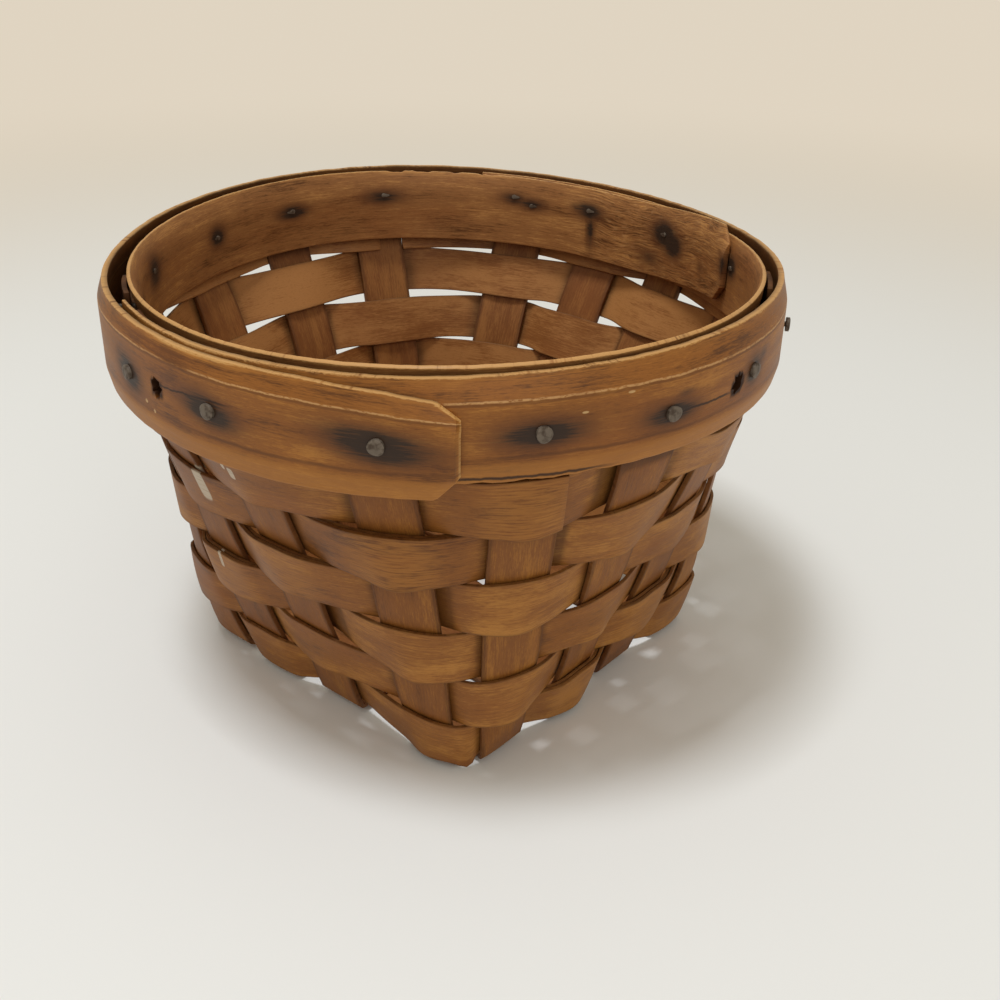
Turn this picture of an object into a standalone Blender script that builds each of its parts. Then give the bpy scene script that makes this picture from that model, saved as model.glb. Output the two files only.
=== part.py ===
"""A small wood splint basket: square woven base, round rim, two nailed hoops.

Eight long stakes cross in the base, bend up and stand as sixteen uprights. Seven
flat weavers go round them, over one and under the next. The rim is an outer and
an inner hoop with the upright tops and the top weaver between them, nailed
through at every upright. Lengths are in metres, +Z is up.
"""

import math
from collections import namedtuple

import bmesh
import bpy
from mathutils import Vector

# Overall sizes of the basket
RIM_DIAMETER = 0.1912
BASKET_HEIGHT = 0.1265
BASE_SIDE = 0.109

# The rim isn't quite round or level: it is a little oval with a three-sided swell,
# and it rises and falls twice on the way round. Azimuths of the peaks in degrees.
RIM_OVAL = 0.0022
RIM_OVAL_AZIMUTH = 42.0
RIM_SWELL = 0.0012
RIM_SWELL_AZIMUTH = 18.0
RIM_WAVE = 0.0019
RIM_WAVE_AZIMUTH = 82.0

# Splints. Crossing splints keep SPLINT_GAP between their faces.
STAKE_WIDTH = 0.0165
STAKE_THICKNESS = 0.0014
WEAVER_THICKNESS = 0.0010
SPLINT_GAP = 0.0003
BEND_RADIUS = 0.0020
WEAVER_BOW = 0.0012

# Weaver rows below the rim, counted from the base up
ROW_COUNT = 6
ROW_GAP = 0.0009
ROW_TO_HOOP_GAP = 0.0019
BOTTOM_ROW_LIFT_INSIDE = 0.0048
BOTTOM_ROW_LIFT_OUTSIDE = 0.0022
BOTTOM_ROW_LIFT_CORNER = 0.0009
TOP_ROW_LIFT = 0.0042
TOP_ROW_WIDTH = 0.0152

# Outer hoop: a band longer than the rim, whose last part lies over its start
OUTER_HOOP_HEIGHT = 0.0260
OUTER_HOOP_THICKNESS = 0.0026
OUTER_TOP_BEVEL = 0.0060
OUTER_BOTTOM_BEVEL = 0.0040
OUTER_LAP_CLIP = 0.0055
OUTER_LAP_DROOP = 0.0028

# Inner hoop: its first part lies inside its own end
INNER_HOOP_HEIGHT = 0.0235
INNER_HOOP_THICKNESS = 0.0020
INNER_TOP_BEVEL = 0.0040
INNER_LAP_CLIP = 0.0050
INNER_LAP_LIFT = 0.0033

# Upright tops stop this far below the top of the hoops
STAKE_TOP_DROP = 0.0030

# Nails, through both hoops and the upright between them
NAIL_HEAD_DIAMETER = 0.0040
NAIL_HEAD_THICKNESS = 0.0011
NAIL_SHANK_DIAMETER = 0.0017
NAIL_POINT_LENGTH = 0.0016
NAIL_GAP = 0.0003
RAISED_HEAD = 0.0012

# Two worn holes in the outer hoop
WORN_HOLE_WIDTH = 0.0026
WORN_HOLE_HEIGHT = 0.0042

# Nail profile as shares: reach of the head's flat top, depth of its rounded rim,
# height of its widest place, reach of its underside, and the shank's own taper
HEAD_TOP_SHARE = 0.62
HEAD_CROWN_SHARE = 0.15
HEAD_WIDEST_SHARE = 0.45
HEAD_UNDERSIDE_SHARE = 0.86
SHANK_TAPER_SHARE = 0.85

# Cutters run past the walls that they cut by this much
CUT_OVERRUN = 0.0040

# Shape of the wall between the base and the hoops. Heights are shares of the
# height of the hoop's lower edge, growths are shares of the way from the base
# to the rim, at the corners and at the middle of the sides.
WALL_HEIGHT_SHARES = (0.0, 0.20, 0.45, 0.667, 0.84, 0.97, 1.0)
CORNER_GROWTH_SHARES = (0.0, 0.26, 0.38, 0.53, 0.77, 0.95, 1.0)
SIDE_GROWTH_SHARES = (0.0, 0.187, 0.413, 0.612, 0.80, 0.96, 1.0)
CORNER_REACH_SHARE = 1.376
LEAN_POWER = 0.9

# Stakes: place in the base as a share of half the base, and azimuth in degrees
# at the rim of the end at -X or -Y and of the end at +X or +Y.
STAKE_SHARES = {
    "stake_x_1": (-0.76, 210.5, 324.5),
    "stake_x_2": (-0.10, 185.5, 349.5),
    "stake_x_3": (0.38, 164.0, 7.9),
    "stake_x_4": (0.80, 145.5, 27.3),
    "stake_y_1": (-0.76, 232.5, 126.0),
    "stake_y_2": (-0.25, 252.0, 103.5),
    "stake_y_3": (0.23, 275.5, 80.3),
    "stake_y_4": (0.76, 299.0, 58.3),
}

# Nails at each stake's two ends in the same order: place across the stake as a
# share of half its width, and depth below the rim as a share of the hoop's height.
NAIL_SHARES = {
    "stake_x_1": ((0.25, 0.58), (-0.80, 0.32)),
    "stake_x_2": ((0.14, 0.52), (-0.61, 0.30)),
    "stake_x_3": ((0.51, 0.52), (0.20, 0.29)),
    "stake_x_4": ((-0.74, 0.45), (0.02, 0.29)),
    "stake_y_1": ((0.18, 0.55), (0.37, 0.37)),
    "stake_y_2": ((0.20, 0.60), (-0.27, 0.44)),
    "stake_y_3": ((-0.65, 0.53), (-0.04, 0.41)),
    "stake_y_4": ((0.19, 0.61), (-0.13, 0.34)),
}
SECOND_NAIL_STAKE = "stake_x_4"
SECOND_NAIL_SHARES = (-0.74, 0.33)
RAISED_NAIL_STAKE = "stake_y_4"

# Laps of the hoops, azimuths in degrees
OUTER_LAP_START = 158.0
OUTER_LAP_END = 222.5
OUTER_LAP_RISE = 40.0
INNER_LAP_START = -38.5
INNER_LAP_END = 35.0
INNER_LAP_RISE = 45.0
INNER_LIFT_SPAN = 40.0
HOOP_STEP = 5.0
HOOP_LEAST_STEP_SHARE = 0.3
THIN_END_SHARE = 0.55
THIN_END_SPAN = 25.0
HOOP_EDGE_SHARE = 0.70

# Worn holes: azimuth in degrees, and depth below the rim as a share of the hoop's height
WORN_HOLE_SHARES = ((174.9, 0.50), (267.3, 0.59))

# Upright behind which each weaver starts, from the bottom row up, counted round
# the basket from the corner at +X and -Y. The last one is the row between the
# hoops, which has no lap. The one below it ends in sight, at its second upright.
LAP_STARTS = (12, 13, 8, 9, 10, 11, 4)
LAP_UPRIGHT_COUNT = 2
VISIBLE_LAP_ROW = 5
GAP_STATION_SHARES = (1 / 3, 2 / 3)

BEND_STEPS = 3
NAIL_SIDES = 8
BORE_SIDES = 6

# Sizes worked out from the ones above
RIM_RADIUS = RIM_DIAMETER / 2
HALF_BASE = BASE_SIDE / 2
HALF_WIDTH = STAKE_WIDTH / 2
CROSSING_STEP = (STAKE_THICKNESS + SPLINT_GAP) / 2
BASE_MIDDLE = STAKE_THICKNESS / 2 + CROSSING_STEP
WEAVE_STEP = STAKE_THICKNESS / 2 + SPLINT_GAP + WEAVER_THICKNESS / 2
PLY_STEP = (WEAVER_THICKNESS + SPLINT_GAP) / 2
HALF_HOOP_SPACE = WEAVE_STEP + WEAVER_THICKNESS / 2 + SPLINT_GAP
WALL_RIM_RADIUS = RIM_RADIUS - OUTER_HOOP_THICKNESS - HALF_HOOP_SPACE
OUTER_HOOP_BOTTOM = BASKET_HEIGHT - OUTER_HOOP_HEIGHT
STAKE_TOP = BASKET_HEIGHT - STAKE_TOP_DROP
ROWS_TOP = OUTER_HOOP_BOTTOM - ROW_TO_HOOP_GAP
ROWS_BOTTOM = BOTTOM_ROW_LIFT_OUTSIDE
ROW_PITCH = (ROWS_TOP + ROW_GAP - ROWS_BOTTOM) / ROW_COUNT
CORNER_REACH = HALF_BASE * CORNER_REACH_SHARE
FIRST_CORNER = -math.pi / 4
UPRIGHT_COUNT = 2 * len(STAKE_SHARES)

# A place along a weaver: at a strand of an upright, or a share of the way on to
# the next one, with 1 for outside the wall and -1 for inside
Station = namedtuple("Station", "number strand share weave")

Hoop = namedtuple(
    "Hoop",
    "start end clipped_end clip heights thin_rows thickness radius_at droop_at thickness_share_at")


def smooth_step(t):
    """Eases from 0 to 1."""
    t = min(max(t, 0.0), 1.0)
    return t * t * (3 - 2 * t)


def curve_through(xs, ys, x):
    """Smooth curve through the points of a table."""
    last = len(xs) - 1
    x = min(max(x, xs[0]), xs[last])
    k = max(i for i in range(last) if xs[i] <= x)
    slopes = []
    for i in (k, k + 1):
        low, high = max(i - 1, 0), min(i + 1, last)
        slopes.append((ys[high] - ys[low]) / (xs[high] - xs[low]))
    h = xs[k + 1] - xs[k]
    t = (x - xs[k]) / h
    return (
        (2 * t**3 - 3 * t**2 + 1) * ys[k]
        + (t**3 - 2 * t**2 + t) * h * slopes[0]
        + (3 * t**2 - 2 * t**3) * ys[k + 1]
        + (t**3 - t**2) * h * slopes[1]
    )


def out_of_round(azimuth, height):
    """How far the wall stands out and up from an even one, growing from base to rim."""
    share = smooth_step(height / OUTER_HOOP_BOTTOM)
    oval = RIM_OVAL * math.cos(2 * (azimuth - math.radians(RIM_OVAL_AZIMUTH)))
    swell = RIM_SWELL * math.cos(3 * (azimuth - math.radians(RIM_SWELL_AZIMUTH)))
    wave = RIM_WAVE * math.cos(2 * (azimuth - math.radians(RIM_WAVE_AZIMUTH)))
    return (oval + swell) * share, wave * share


def settle(point):
    """A point of the even basket, moved as the rim has settled."""
    out, up = out_of_round(math.atan2(point.y, point.x), point.z)
    outward = Vector((point.x, point.y, 0.0)).normalized()
    return point + outward * out + Vector((0, 0, up))


def wall_radius(azimuth, height):
    """Distance from the axis to the middle of the wall: square below, round above."""
    share = height / OUTER_HOOP_BOTTOM
    side_growth = curve_through(WALL_HEIGHT_SHARES, SIDE_GROWTH_SHARES, share)
    corner_growth = curve_through(WALL_HEIGHT_SHARES, CORNER_GROWTH_SHARES, share)
    side = HALF_BASE + (WALL_RIM_RADIUS - HALF_BASE) * side_growth
    corner = CORNER_REACH + (WALL_RIM_RADIUS - CORNER_REACH) * corner_growth
    ratio = min(max(corner / side, 1.0), CORNER_REACH_SHARE)
    power = 1 / (0.5 - math.log2(ratio))
    spread = abs(math.cos(azimuth)) ** power + abs(math.sin(azimuth)) ** power
    return side / spread ** (1 / power)


def wall_point(azimuth, height):
    radius = wall_radius(azimuth, height)
    return Vector((radius * math.cos(azimuth), radius * math.sin(azimuth), height))


def wall_normal(azimuth, height):
    """Outward direction of the wall, kept level so that rows keep their height."""
    turn = math.radians(0.05)
    along = wall_point(azimuth + turn, height) - wall_point(azimuth - turn, height)
    return along.cross(Vector((0, 0, 1))).normalized()


def offset_wall_point(azimuth, height, offset):
    return wall_point(azimuth, height) + wall_normal(azimuth, height) * offset


def azimuth_beside(azimuth, height, distance):
    """Azimuth of the wall point at a signed distance along the wall."""
    if not distance:
        return azimuth
    start = wall_point(azimuth, height)
    turn = distance / start.xy.length
    for _ in range(6):
        reached = (wall_point(azimuth + turn, height) - start).length
        turn *= abs(distance) / reached
    return azimuth + turn


def count_azimuth(azimuth):
    """The same azimuth, counted on from the corner at +X and -Y."""
    return (azimuth - FIRST_CORNER) % math.tau + FIRST_CORNER


class Upright:
    """One end of a stake, standing in the wall."""

    def __init__(self, stake, side, base_place, rim_degrees):
        self.stake = stake
        self.side = side
        along_x = stake.startswith("stake_x")
        foot = (side * HALF_BASE, base_place) if along_x else (base_place, side * HALF_BASE)
        self.base_azimuth = count_azimuth(math.atan2(foot[1], foot[0]))
        self.rim_azimuth = count_azimuth(math.radians(rim_degrees))

    def azimuth(self, height):
        share = min(max(height / OUTER_HOOP_BOTTOM, 0.0), 1.0) ** LEAN_POWER
        return self.base_azimuth + (self.rim_azimuth - self.base_azimuth) * share

    def strand_azimuth(self, strand, height):
        """Azimuth of an edge, strand -1 or 1, or of the middle, strand 0."""
        middle = self.azimuth(height)
        if strand == 0:
            return middle
        return azimuth_beside(middle, height, strand * HALF_WIDTH)

    def nail_place(self, shares, raised=False):
        """Azimuth and height of a nail through this end, and whether its head stands up."""
        across, drop = shares
        height = BASKET_HEIGHT - drop * OUTER_HOOP_HEIGHT
        return azimuth_beside(self.rim_azimuth, height, across * HALF_WIDTH), height, raised


def make_uprights():
    """All sixteen uprights in order of azimuth, starting next to +X."""
    uprights = []
    for stake, (place, near, far) in STAKE_SHARES.items():
        uprights.append(Upright(stake, -1, place * HALF_BASE, near))
        uprights.append(Upright(stake, 1, place * HALF_BASE, far))
    return sorted(uprights, key=lambda upright: upright.rim_azimuth)


def new_object(name, mesh, collection, material=None):
    piece = bpy.data.objects.new(name, mesh)
    collection.objects.link(piece)
    if material:
        mesh.materials.append(material)
    return piece


def make_material(name, colour, roughness, metallic=0.0):
    material = bpy.data.materials.new(name)
    material.use_nodes = True
    shader = material.node_tree.nodes["Principled BSDF"]
    shader.inputs["Base Color"].default_value = (*colour, 1.0)
    shader.inputs["Roughness"].default_value = roughness
    shader.inputs["Metallic"].default_value = metallic
    return material


def strip_mesh(name, columns):
    """A grid whose points are moved to the given columns of points, as settled."""
    length, width = len(columns) - 1, len(columns[0]) - 1
    shape = bmesh.new()
    bmesh.ops.create_grid(shape, x_segments=length, y_segments=width, size=1.0)
    for vert in shape.verts:
        column = round((vert.co.x + 1) / 2 * length)
        row = round((vert.co.y + 1) / 2 * width)
        vert.co = settle(columns[column][row])
    mesh = bpy.data.meshes.new(name)
    shape.to_mesh(mesh)
    shape.free()
    return mesh


def thicken(piece, thickness, offset=0.0):
    solid = piece.modifiers.new("thickness", "SOLIDIFY")
    solid.thickness = thickness
    solid.offset = offset
    solid.use_even_offset = True
    solid.use_quality_normals = True
    return solid


def cut_with(piece, cutters):
    cut = piece.modifiers.new("holes", "BOOLEAN")
    cut.operation = "DIFFERENCE"
    cut.operand_type = "COLLECTION"
    cut.collection = cutters
    cut.solver = "EXACT"


def stake_goes_over(row, column):
    """Plain weave of the base: which X stake lies above which Y stake."""
    return (row + column) % 2 == 1


def base_level(sign):
    """Height of a stake's middle where it lies above, 1, or below, -1."""
    return BASE_MIDDLE + sign * CROSSING_STEP


def base_stations(index, along_x, crossed):
    """Places and heights along a stake in the base, at its crossings' edges."""
    stations = []
    for other, place in enumerate(crossed):
        over = stake_goes_over(index, other) if along_x else not stake_goes_over(other, index)
        height = base_level(1 if over else -1)
        if stations:
            stations.append(((stations[-1][0] + place - HALF_WIDTH) / 2, BASE_MIDDLE))
        stations.append((place - HALF_WIDTH, height))
        stations.append((place, height))
        stations.append((place + HALF_WIDTH, height))
    return stations


def row_edges():
    """Heights between the rows, where the stakes' points lie."""
    between = [ROWS_BOTTOM - ROW_GAP / 2 + ROW_PITCH * k for k in range(1, ROW_COUNT)]
    return between + [OUTER_HOOP_BOTTOM]


def stake_frame(along_x, along, aside, height):
    """A point given along and to the left of a stake that runs to +X or to +Y."""
    if along_x:
        return Vector((along, aside, height))
    return Vector((-aside, along, height))


def bend_and_wall(upright, along_x, strand, lateral, level):
    """Points of one strand of a stake from the base's edge to its top."""
    side = upright.side
    turned = strand * side
    spring = level + BEND_RADIUS
    foot = wall_point(upright.strand_azimuth(turned, spring), spring)
    reach, aside = (foot.x, foot.y) if along_x else (foot.y, -foot.x)
    points = []
    for step in range(BEND_STEPS):
        angle = math.pi / 2 * step / BEND_STEPS
        along = reach - side * BEND_RADIUS * (1 - math.sin(angle))
        place = lateral + (aside - lateral) * math.sin(angle)
        height = level + BEND_RADIUS * (1 - math.cos(angle))
        points.append(stake_frame(along_x, along, place, height))
    for height in [spring] + row_edges() + [STAKE_TOP]:
        points.append(wall_point(upright.strand_azimuth(turned, height), height))
    return points


def make_stake(name, uprights, places, collection, material, nail_holes):
    """A long splint: up one wall, across the base and up the other wall."""
    along_x = name.startswith("stake_x")
    index = int(name[-1]) - 1
    own = places["x"][index] if along_x else -places["y"][index]
    crossed = places["y"] if along_x else places["x"]
    stations = base_stations(index, along_x, crossed)
    near = next(u for u in uprights if u.stake == name and u.side == -1)
    far = next(u for u in uprights if u.stake == name and u.side == 1)
    strands = []
    for strand in (-1, 0, 1):
        lateral = own + strand * HALF_WIDTH
        down = bend_and_wall(near, along_x, strand, lateral, stations[0][1])[::-1]
        across = [stake_frame(along_x, along, lateral, height) for along, height in stations]
        up = bend_and_wall(far, along_x, strand, lateral, stations[-1][1])
        strands.append(down + across + up)
    piece = new_object(name, strip_mesh(name, list(zip(*strands))), collection, material)
    thicken(piece, STAKE_THICKNESS)
    cut_with(piece, nail_holes)
    return piece


def goes_outside(number, row):
    """Whether a weaver row, counted from the base, passes outside an upright."""
    return (number + row) % 2 == 1


def weaver_stations(uprights, row, start, end, last_strands):
    """Stations round the wall, from the middle of one upright to another or on past it."""
    stations = []
    for number in range(start, end + 1):
        side = 1 if goes_outside(number, row) else -1
        strands = (-1, 0, 1)
        if number == start:
            strands = (0, 1)
        if number == end:
            strands = last_strands
        stations += [Station(number, strand, 0.0, side) for strand in strands]
        if number < end:
            for share in GAP_STATION_SHARES:
                stations.append(Station(number, 1, share, side * (1 - 2 * smooth_step(share))))
    return stations


def strand_azimuth_round(uprights, number, strand, height):
    """Azimuth of an upright's edge or middle, counted on past a full turn."""
    turns, place = divmod(number, len(uprights))
    return uprights[place].strand_azimuth(strand, height) + turns * math.tau


def station_azimuth(uprights, station, height):
    azimuth = strand_azimuth_round(uprights, station.number, station.strand, height)
    if station.share:
        beyond = strand_azimuth_round(uprights, station.number + 1, -1, height)
        azimuth += (beyond - azimuth) * station.share
    return azimuth


def ply_offset(station, start, lapped):
    """Offset of a weaver's middle from the wall, drawn apart where it laps itself."""
    offset = WEAVE_STEP * station.weave
    widened = (WEAVE_STEP + PLY_STEP) * station.weave
    covered_end = start + LAP_UPRIGHT_COUNT
    if not lapped:
        return offset
    if station.number > covered_end:
        return widened + PLY_STEP if station.number >= start + UPRIGHT_COUNT else offset
    if station.number == covered_end and station.share:
        return widened - PLY_STEP + (offset - widened + PLY_STEP) * smooth_step(station.share)
    return widened - PLY_STEP


def weaver_bow(row, station):
    """Below the rim a weaver bows away from the middle of the upright that it passes."""
    if row == ROW_COUNT or station.strand != 0:
        return 0.0
    return WEAVER_BOW * station.weave


def row_heights(uprights, row, station):
    """Lower and upper edge of a weaver at a station."""
    if row == ROW_COUNT:
        bottom = OUTER_HOOP_BOTTOM + TOP_ROW_LIFT
        return bottom, bottom + TOP_ROW_WIDTH
    bottom = ROWS_BOTTOM + ROW_PITCH * row
    top = bottom + ROW_PITCH - ROW_GAP
    if row == 0:
        if station.share:
            bottom = (BOTTOM_ROW_LIFT_OUTSIDE + BOTTOM_ROW_LIFT_INSIDE) / 2
            if before_corner(uprights, station.number):
                bottom = BOTTOM_ROW_LIFT_CORNER
        elif station.weave < 0:
            bottom = BOTTOM_ROW_LIFT_INSIDE
    return bottom, top


def before_corner(uprights, number):
    """Whether a corner of the base follows an upright."""
    here, following = (uprights[k % len(uprights)].stake for k in (number, number + 1))
    return here[:-1] != following[:-1]


def make_weaver(name, uprights, row, collection, material):
    """A flat strip woven round the wall, which laps over its own start below the rim."""
    lapped = row < ROW_COUNT
    start = LAP_STARTS[row]
    end = start + UPRIGHT_COUNT
    last_strands = (-1,)
    if lapped:
        end += LAP_UPRIGHT_COUNT
        last_strands = (-1, 0)
    if row == VISIBLE_LAP_ROW:
        end -= 1
        last_strands = (-1, 0, 1)
    stations = weaver_stations(uprights, row, start, end, last_strands)
    columns = []
    for station in stations:
        offset = ply_offset(station, start, lapped) + weaver_bow(row, station)
        column = []
        for height in row_heights(uprights, row, station):
            azimuth = station_azimuth(uprights, station, height)
            column.append(offset_wall_point(azimuth, height, offset))
        columns.append(column)
    piece = new_object(name, strip_mesh(name, columns), collection, material)
    thicken(piece, WEAVER_THICKNESS)
    return piece


def outer_hoop_radius(turned):
    """Inner face of the outer hoop: it steps out over its own start."""
    own = RIM_RADIUS - OUTER_HOOP_THICKNESS
    rise = smooth_step((turned - (360 - OUTER_LAP_RISE)) / OUTER_LAP_RISE)
    return own + (OUTER_HOOP_THICKNESS + SPLINT_GAP) * rise


def inner_hoop_radius(turned):
    """Inner face of the inner hoop: its start lies inside its end."""
    own = WALL_RIM_RADIUS - HALF_HOOP_SPACE - INNER_HOOP_THICKNESS
    lap = INNER_LAP_END - INNER_LAP_START
    rise = smooth_step((turned - lap) / INNER_LAP_RISE)
    return own - (INNER_HOOP_THICKNESS + SPLINT_GAP) * (1 - rise)


def hoop_angles(start, end, clip):
    """Azimuths of a hoop's columns: its ends, its clipped corners and whole steps."""
    clip_angle = math.degrees(clip / RIM_RADIUS)
    first, last = start + clip_angle, end - clip_angle
    least = HOOP_STEP * HOOP_LEAST_STEP_SHARE
    steps = [HOOP_STEP * k for k in range(math.ceil((first + least) / HOOP_STEP),
                                          math.floor((last - least) / HOOP_STEP) + 1)]
    return [start, first] + steps + [last, end]


def make_hoop(name, hoop, material, collection):
    """A flat band bent round the rim, one of its ends with clipped corners."""
    angles = hoop_angles(hoop.start, hoop.end, hoop.clip)
    heights = hoop.heights
    columns = []
    for angle in angles:
        azimuth = math.radians(angle)
        turned = angle - hoop.start
        radius = hoop.radius_at(turned)
        cut = hoop.clip if angle == hoop.clipped_end else 0.0
        low, high = heights[0] + cut, heights[-1] - cut
        column = []
        for height in heights:
            level = min(max(height, low), high) - hoop.droop_at(turned)
            column.append(Vector((radius * math.cos(azimuth), radius * math.sin(azimuth), level)))
        columns.append(column)
    piece = new_object(name, strip_mesh(name, columns), collection, material)
    group = piece.vertex_groups.new(name="thickness")
    for vert in piece.data.vertices:
        row, column = divmod(vert.index, len(angles))
        edge = row in hoop.thin_rows
        turned = angles[column] - hoop.start
        group.add([vert.index], hoop.thickness_share_at(turned, edge), "REPLACE")
    solid = thicken(piece, hoop.thickness, offset=1.0)
    solid.vertex_group = group.name
    return piece


def inner_droop(turned):
    """The inner hoop's lap stands higher towards its end."""
    return -INNER_LAP_LIFT * (1 - smooth_step(turned / INNER_LIFT_SPAN))


def outer_thickness_share(turned, edge):
    """The outer hoop is bevelled at its edges and shaved thin at its covered end."""
    covered = THIN_END_SHARE + (1 - THIN_END_SHARE) * smooth_step(turned / THIN_END_SPAN)
    return covered * (HOOP_EDGE_SHARE if edge else 1.0)


def inner_thickness_share(turned, edge):
    """The inner hoop is bevelled at its top edge alone."""
    return HOOP_EDGE_SHARE if edge else 1.0


def outer_droop(turned):
    """The outer hoop's lap hangs lower towards its end."""
    lap = OUTER_LAP_END - OUTER_LAP_START
    return OUTER_LAP_DROOP * min(max((turned - 360) / lap, 0.0), 1.0)


def nail_places(uprights):
    """The place of each nail, one for each upright and a second for one of them."""
    places = []
    for upright in uprights:
        near, far = NAIL_SHARES[upright.stake]
        raised = upright.stake == RAISED_NAIL_STAKE and upright.side == -1
        places.append(upright.nail_place(near if upright.side == -1 else far, raised))
        if upright.stake == SECOND_NAIL_STAKE and upright.side == 1:
            places.append(upright.nail_place(SECOND_NAIL_SHARES))
    return places


def hoop_faces(azimuth, height):
    """Outer and inner face of the rim at a place, laps and settling included."""
    degrees = math.degrees(azimuth) % 360
    turned = (degrees - OUTER_LAP_START) % 360
    lap = OUTER_LAP_END - OUTER_LAP_START
    if turned < lap:
        turned += 360
    outer = outer_hoop_radius(turned) + OUTER_HOOP_THICKNESS
    inner = inner_hoop_radius((degrees - INNER_LAP_START) % 360)
    out, _ = out_of_round(azimuth, height)
    return outer + out, inner + out


def settled_height(azimuth, height):
    _, up = out_of_round(azimuth, height)
    return height + up


def nail_mesh(name, length, under_head):
    """A turned nail along local Z, its head's underside at under_head."""
    head = NAIL_HEAD_DIAMETER / 2
    shank = NAIL_SHANK_DIAMETER / 2
    tip = under_head - length
    top = under_head + NAIL_HEAD_THICKNESS
    profile = [
        (0.0, top),
        (head * HEAD_TOP_SHARE, top - NAIL_HEAD_THICKNESS * HEAD_CROWN_SHARE),
        (head, under_head + NAIL_HEAD_THICKNESS * HEAD_WIDEST_SHARE),
        (head * HEAD_UNDERSIDE_SHARE, under_head),
        (shank, under_head),
        (shank * SHANK_TAPER_SHARE, tip + NAIL_POINT_LENGTH),
        (0.0, tip),
    ]
    shape = bmesh.new()
    verts = [shape.verts.new((x, 0.0, z)) for x, z in profile]
    for first, second in zip(verts, verts[1:]):
        shape.edges.new((first, second))
    mesh = bpy.data.meshes.new(name)
    shape.to_mesh(mesh)
    shape.free()
    return mesh


def make_nail(name, place, collection, material):
    azimuth, height, raised = place
    outer, inner = hoop_faces(azimuth, height)
    under_head = outer + NAIL_GAP + (RAISED_HEAD if raised else 0.0)
    length = under_head - inner + NAIL_POINT_LENGTH
    piece = new_object(name, nail_mesh(name, length, under_head), collection, material)
    turn = piece.modifiers.new("turned", "SCREW")
    turn.steps = turn.render_steps = NAIL_SIDES
    turn.use_merge_vertices = True
    turn.merge_threshold = 0.00001
    turn.use_smooth_shade = True
    piece.location = (0.0, 0.0, settled_height(azimuth, height))
    piece.rotation_euler = (0.0, math.pi / 2, azimuth)
    return piece


def as_cutter(piece):
    piece.hide_render = True
    piece.display_type = "WIRE"


def make_bore(name, place, collection):
    """A cutter for the hole that a nail goes through."""
    azimuth, height, _ = place
    outer, inner = hoop_faces(azimuth, height)
    radius = NAIL_SHANK_DIAMETER / 2 / math.cos(math.pi / BORE_SIDES) + NAIL_GAP
    shape = bmesh.new()
    depth = outer - inner + 2 * CUT_OVERRUN
    bmesh.ops.create_cone(shape, cap_ends=True, segments=BORE_SIDES, radius1=radius,
                          radius2=radius, depth=depth)
    bmesh.ops.translate(shape, verts=shape.verts, vec=(0.0, 0.0, (outer + inner) / 2))
    mesh = bpy.data.meshes.new(name)
    shape.to_mesh(mesh)
    shape.free()
    cutter = new_object(name, mesh, collection)
    cutter.location = (0.0, 0.0, settled_height(azimuth, height))
    cutter.rotation_euler = (0.0, math.pi / 2, azimuth)
    as_cutter(cutter)
    return cutter


def make_worn_hole(name, place, collection):
    """A cutter for a worn oval hole through the outer hoop alone."""
    azimuth = math.radians(place[0])
    height = BASKET_HEIGHT - place[1] * OUTER_HOOP_HEIGHT
    outer, _ = hoop_faces(azimuth, height)
    out, _ = out_of_round(azimuth, height)
    inside = RIM_RADIUS - OUTER_HOOP_THICKNESS - SPLINT_GAP / 2 + out
    shape = bmesh.new()
    depth = outer + CUT_OVERRUN - inside
    bmesh.ops.create_cone(shape, cap_ends=True, segments=NAIL_SIDES, radius1=0.5, radius2=0.5,
                          depth=depth)
    bmesh.ops.scale(shape, verts=shape.verts, vec=(WORN_HOLE_HEIGHT, WORN_HOLE_WIDTH, 1.0))
    bmesh.ops.translate(shape, verts=shape.verts, vec=(0.0, 0.0, inside + depth / 2))
    mesh = bpy.data.meshes.new(name)
    shape.to_mesh(mesh)
    shape.free()
    cutter = new_object(name, mesh, collection)
    cutter.location = (0.0, 0.0, settled_height(azimuth, height))
    cutter.rotation_euler = (0.0, math.pi / 2, azimuth)
    as_cutter(cutter)
    return cutter


def centre_on_origin(holder, pieces):
    """Moves the basket so that its box stands centred on the origin."""
    bpy.context.view_layer.update()
    graph = bpy.context.evaluated_depsgraph_get()
    points = []
    for piece in pieces:
        shown = piece.evaluated_get(graph)
        points += [shown.matrix_world @ vert.co for vert in shown.data.vertices]
    middle = [(min(p[k] for p in points) + max(p[k] for p in points)) / 2 for k in range(2)]
    floor = min(p.z for p in points)
    holder.location = (-middle[0], -middle[1], -floor)
    bpy.context.view_layer.update()


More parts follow.
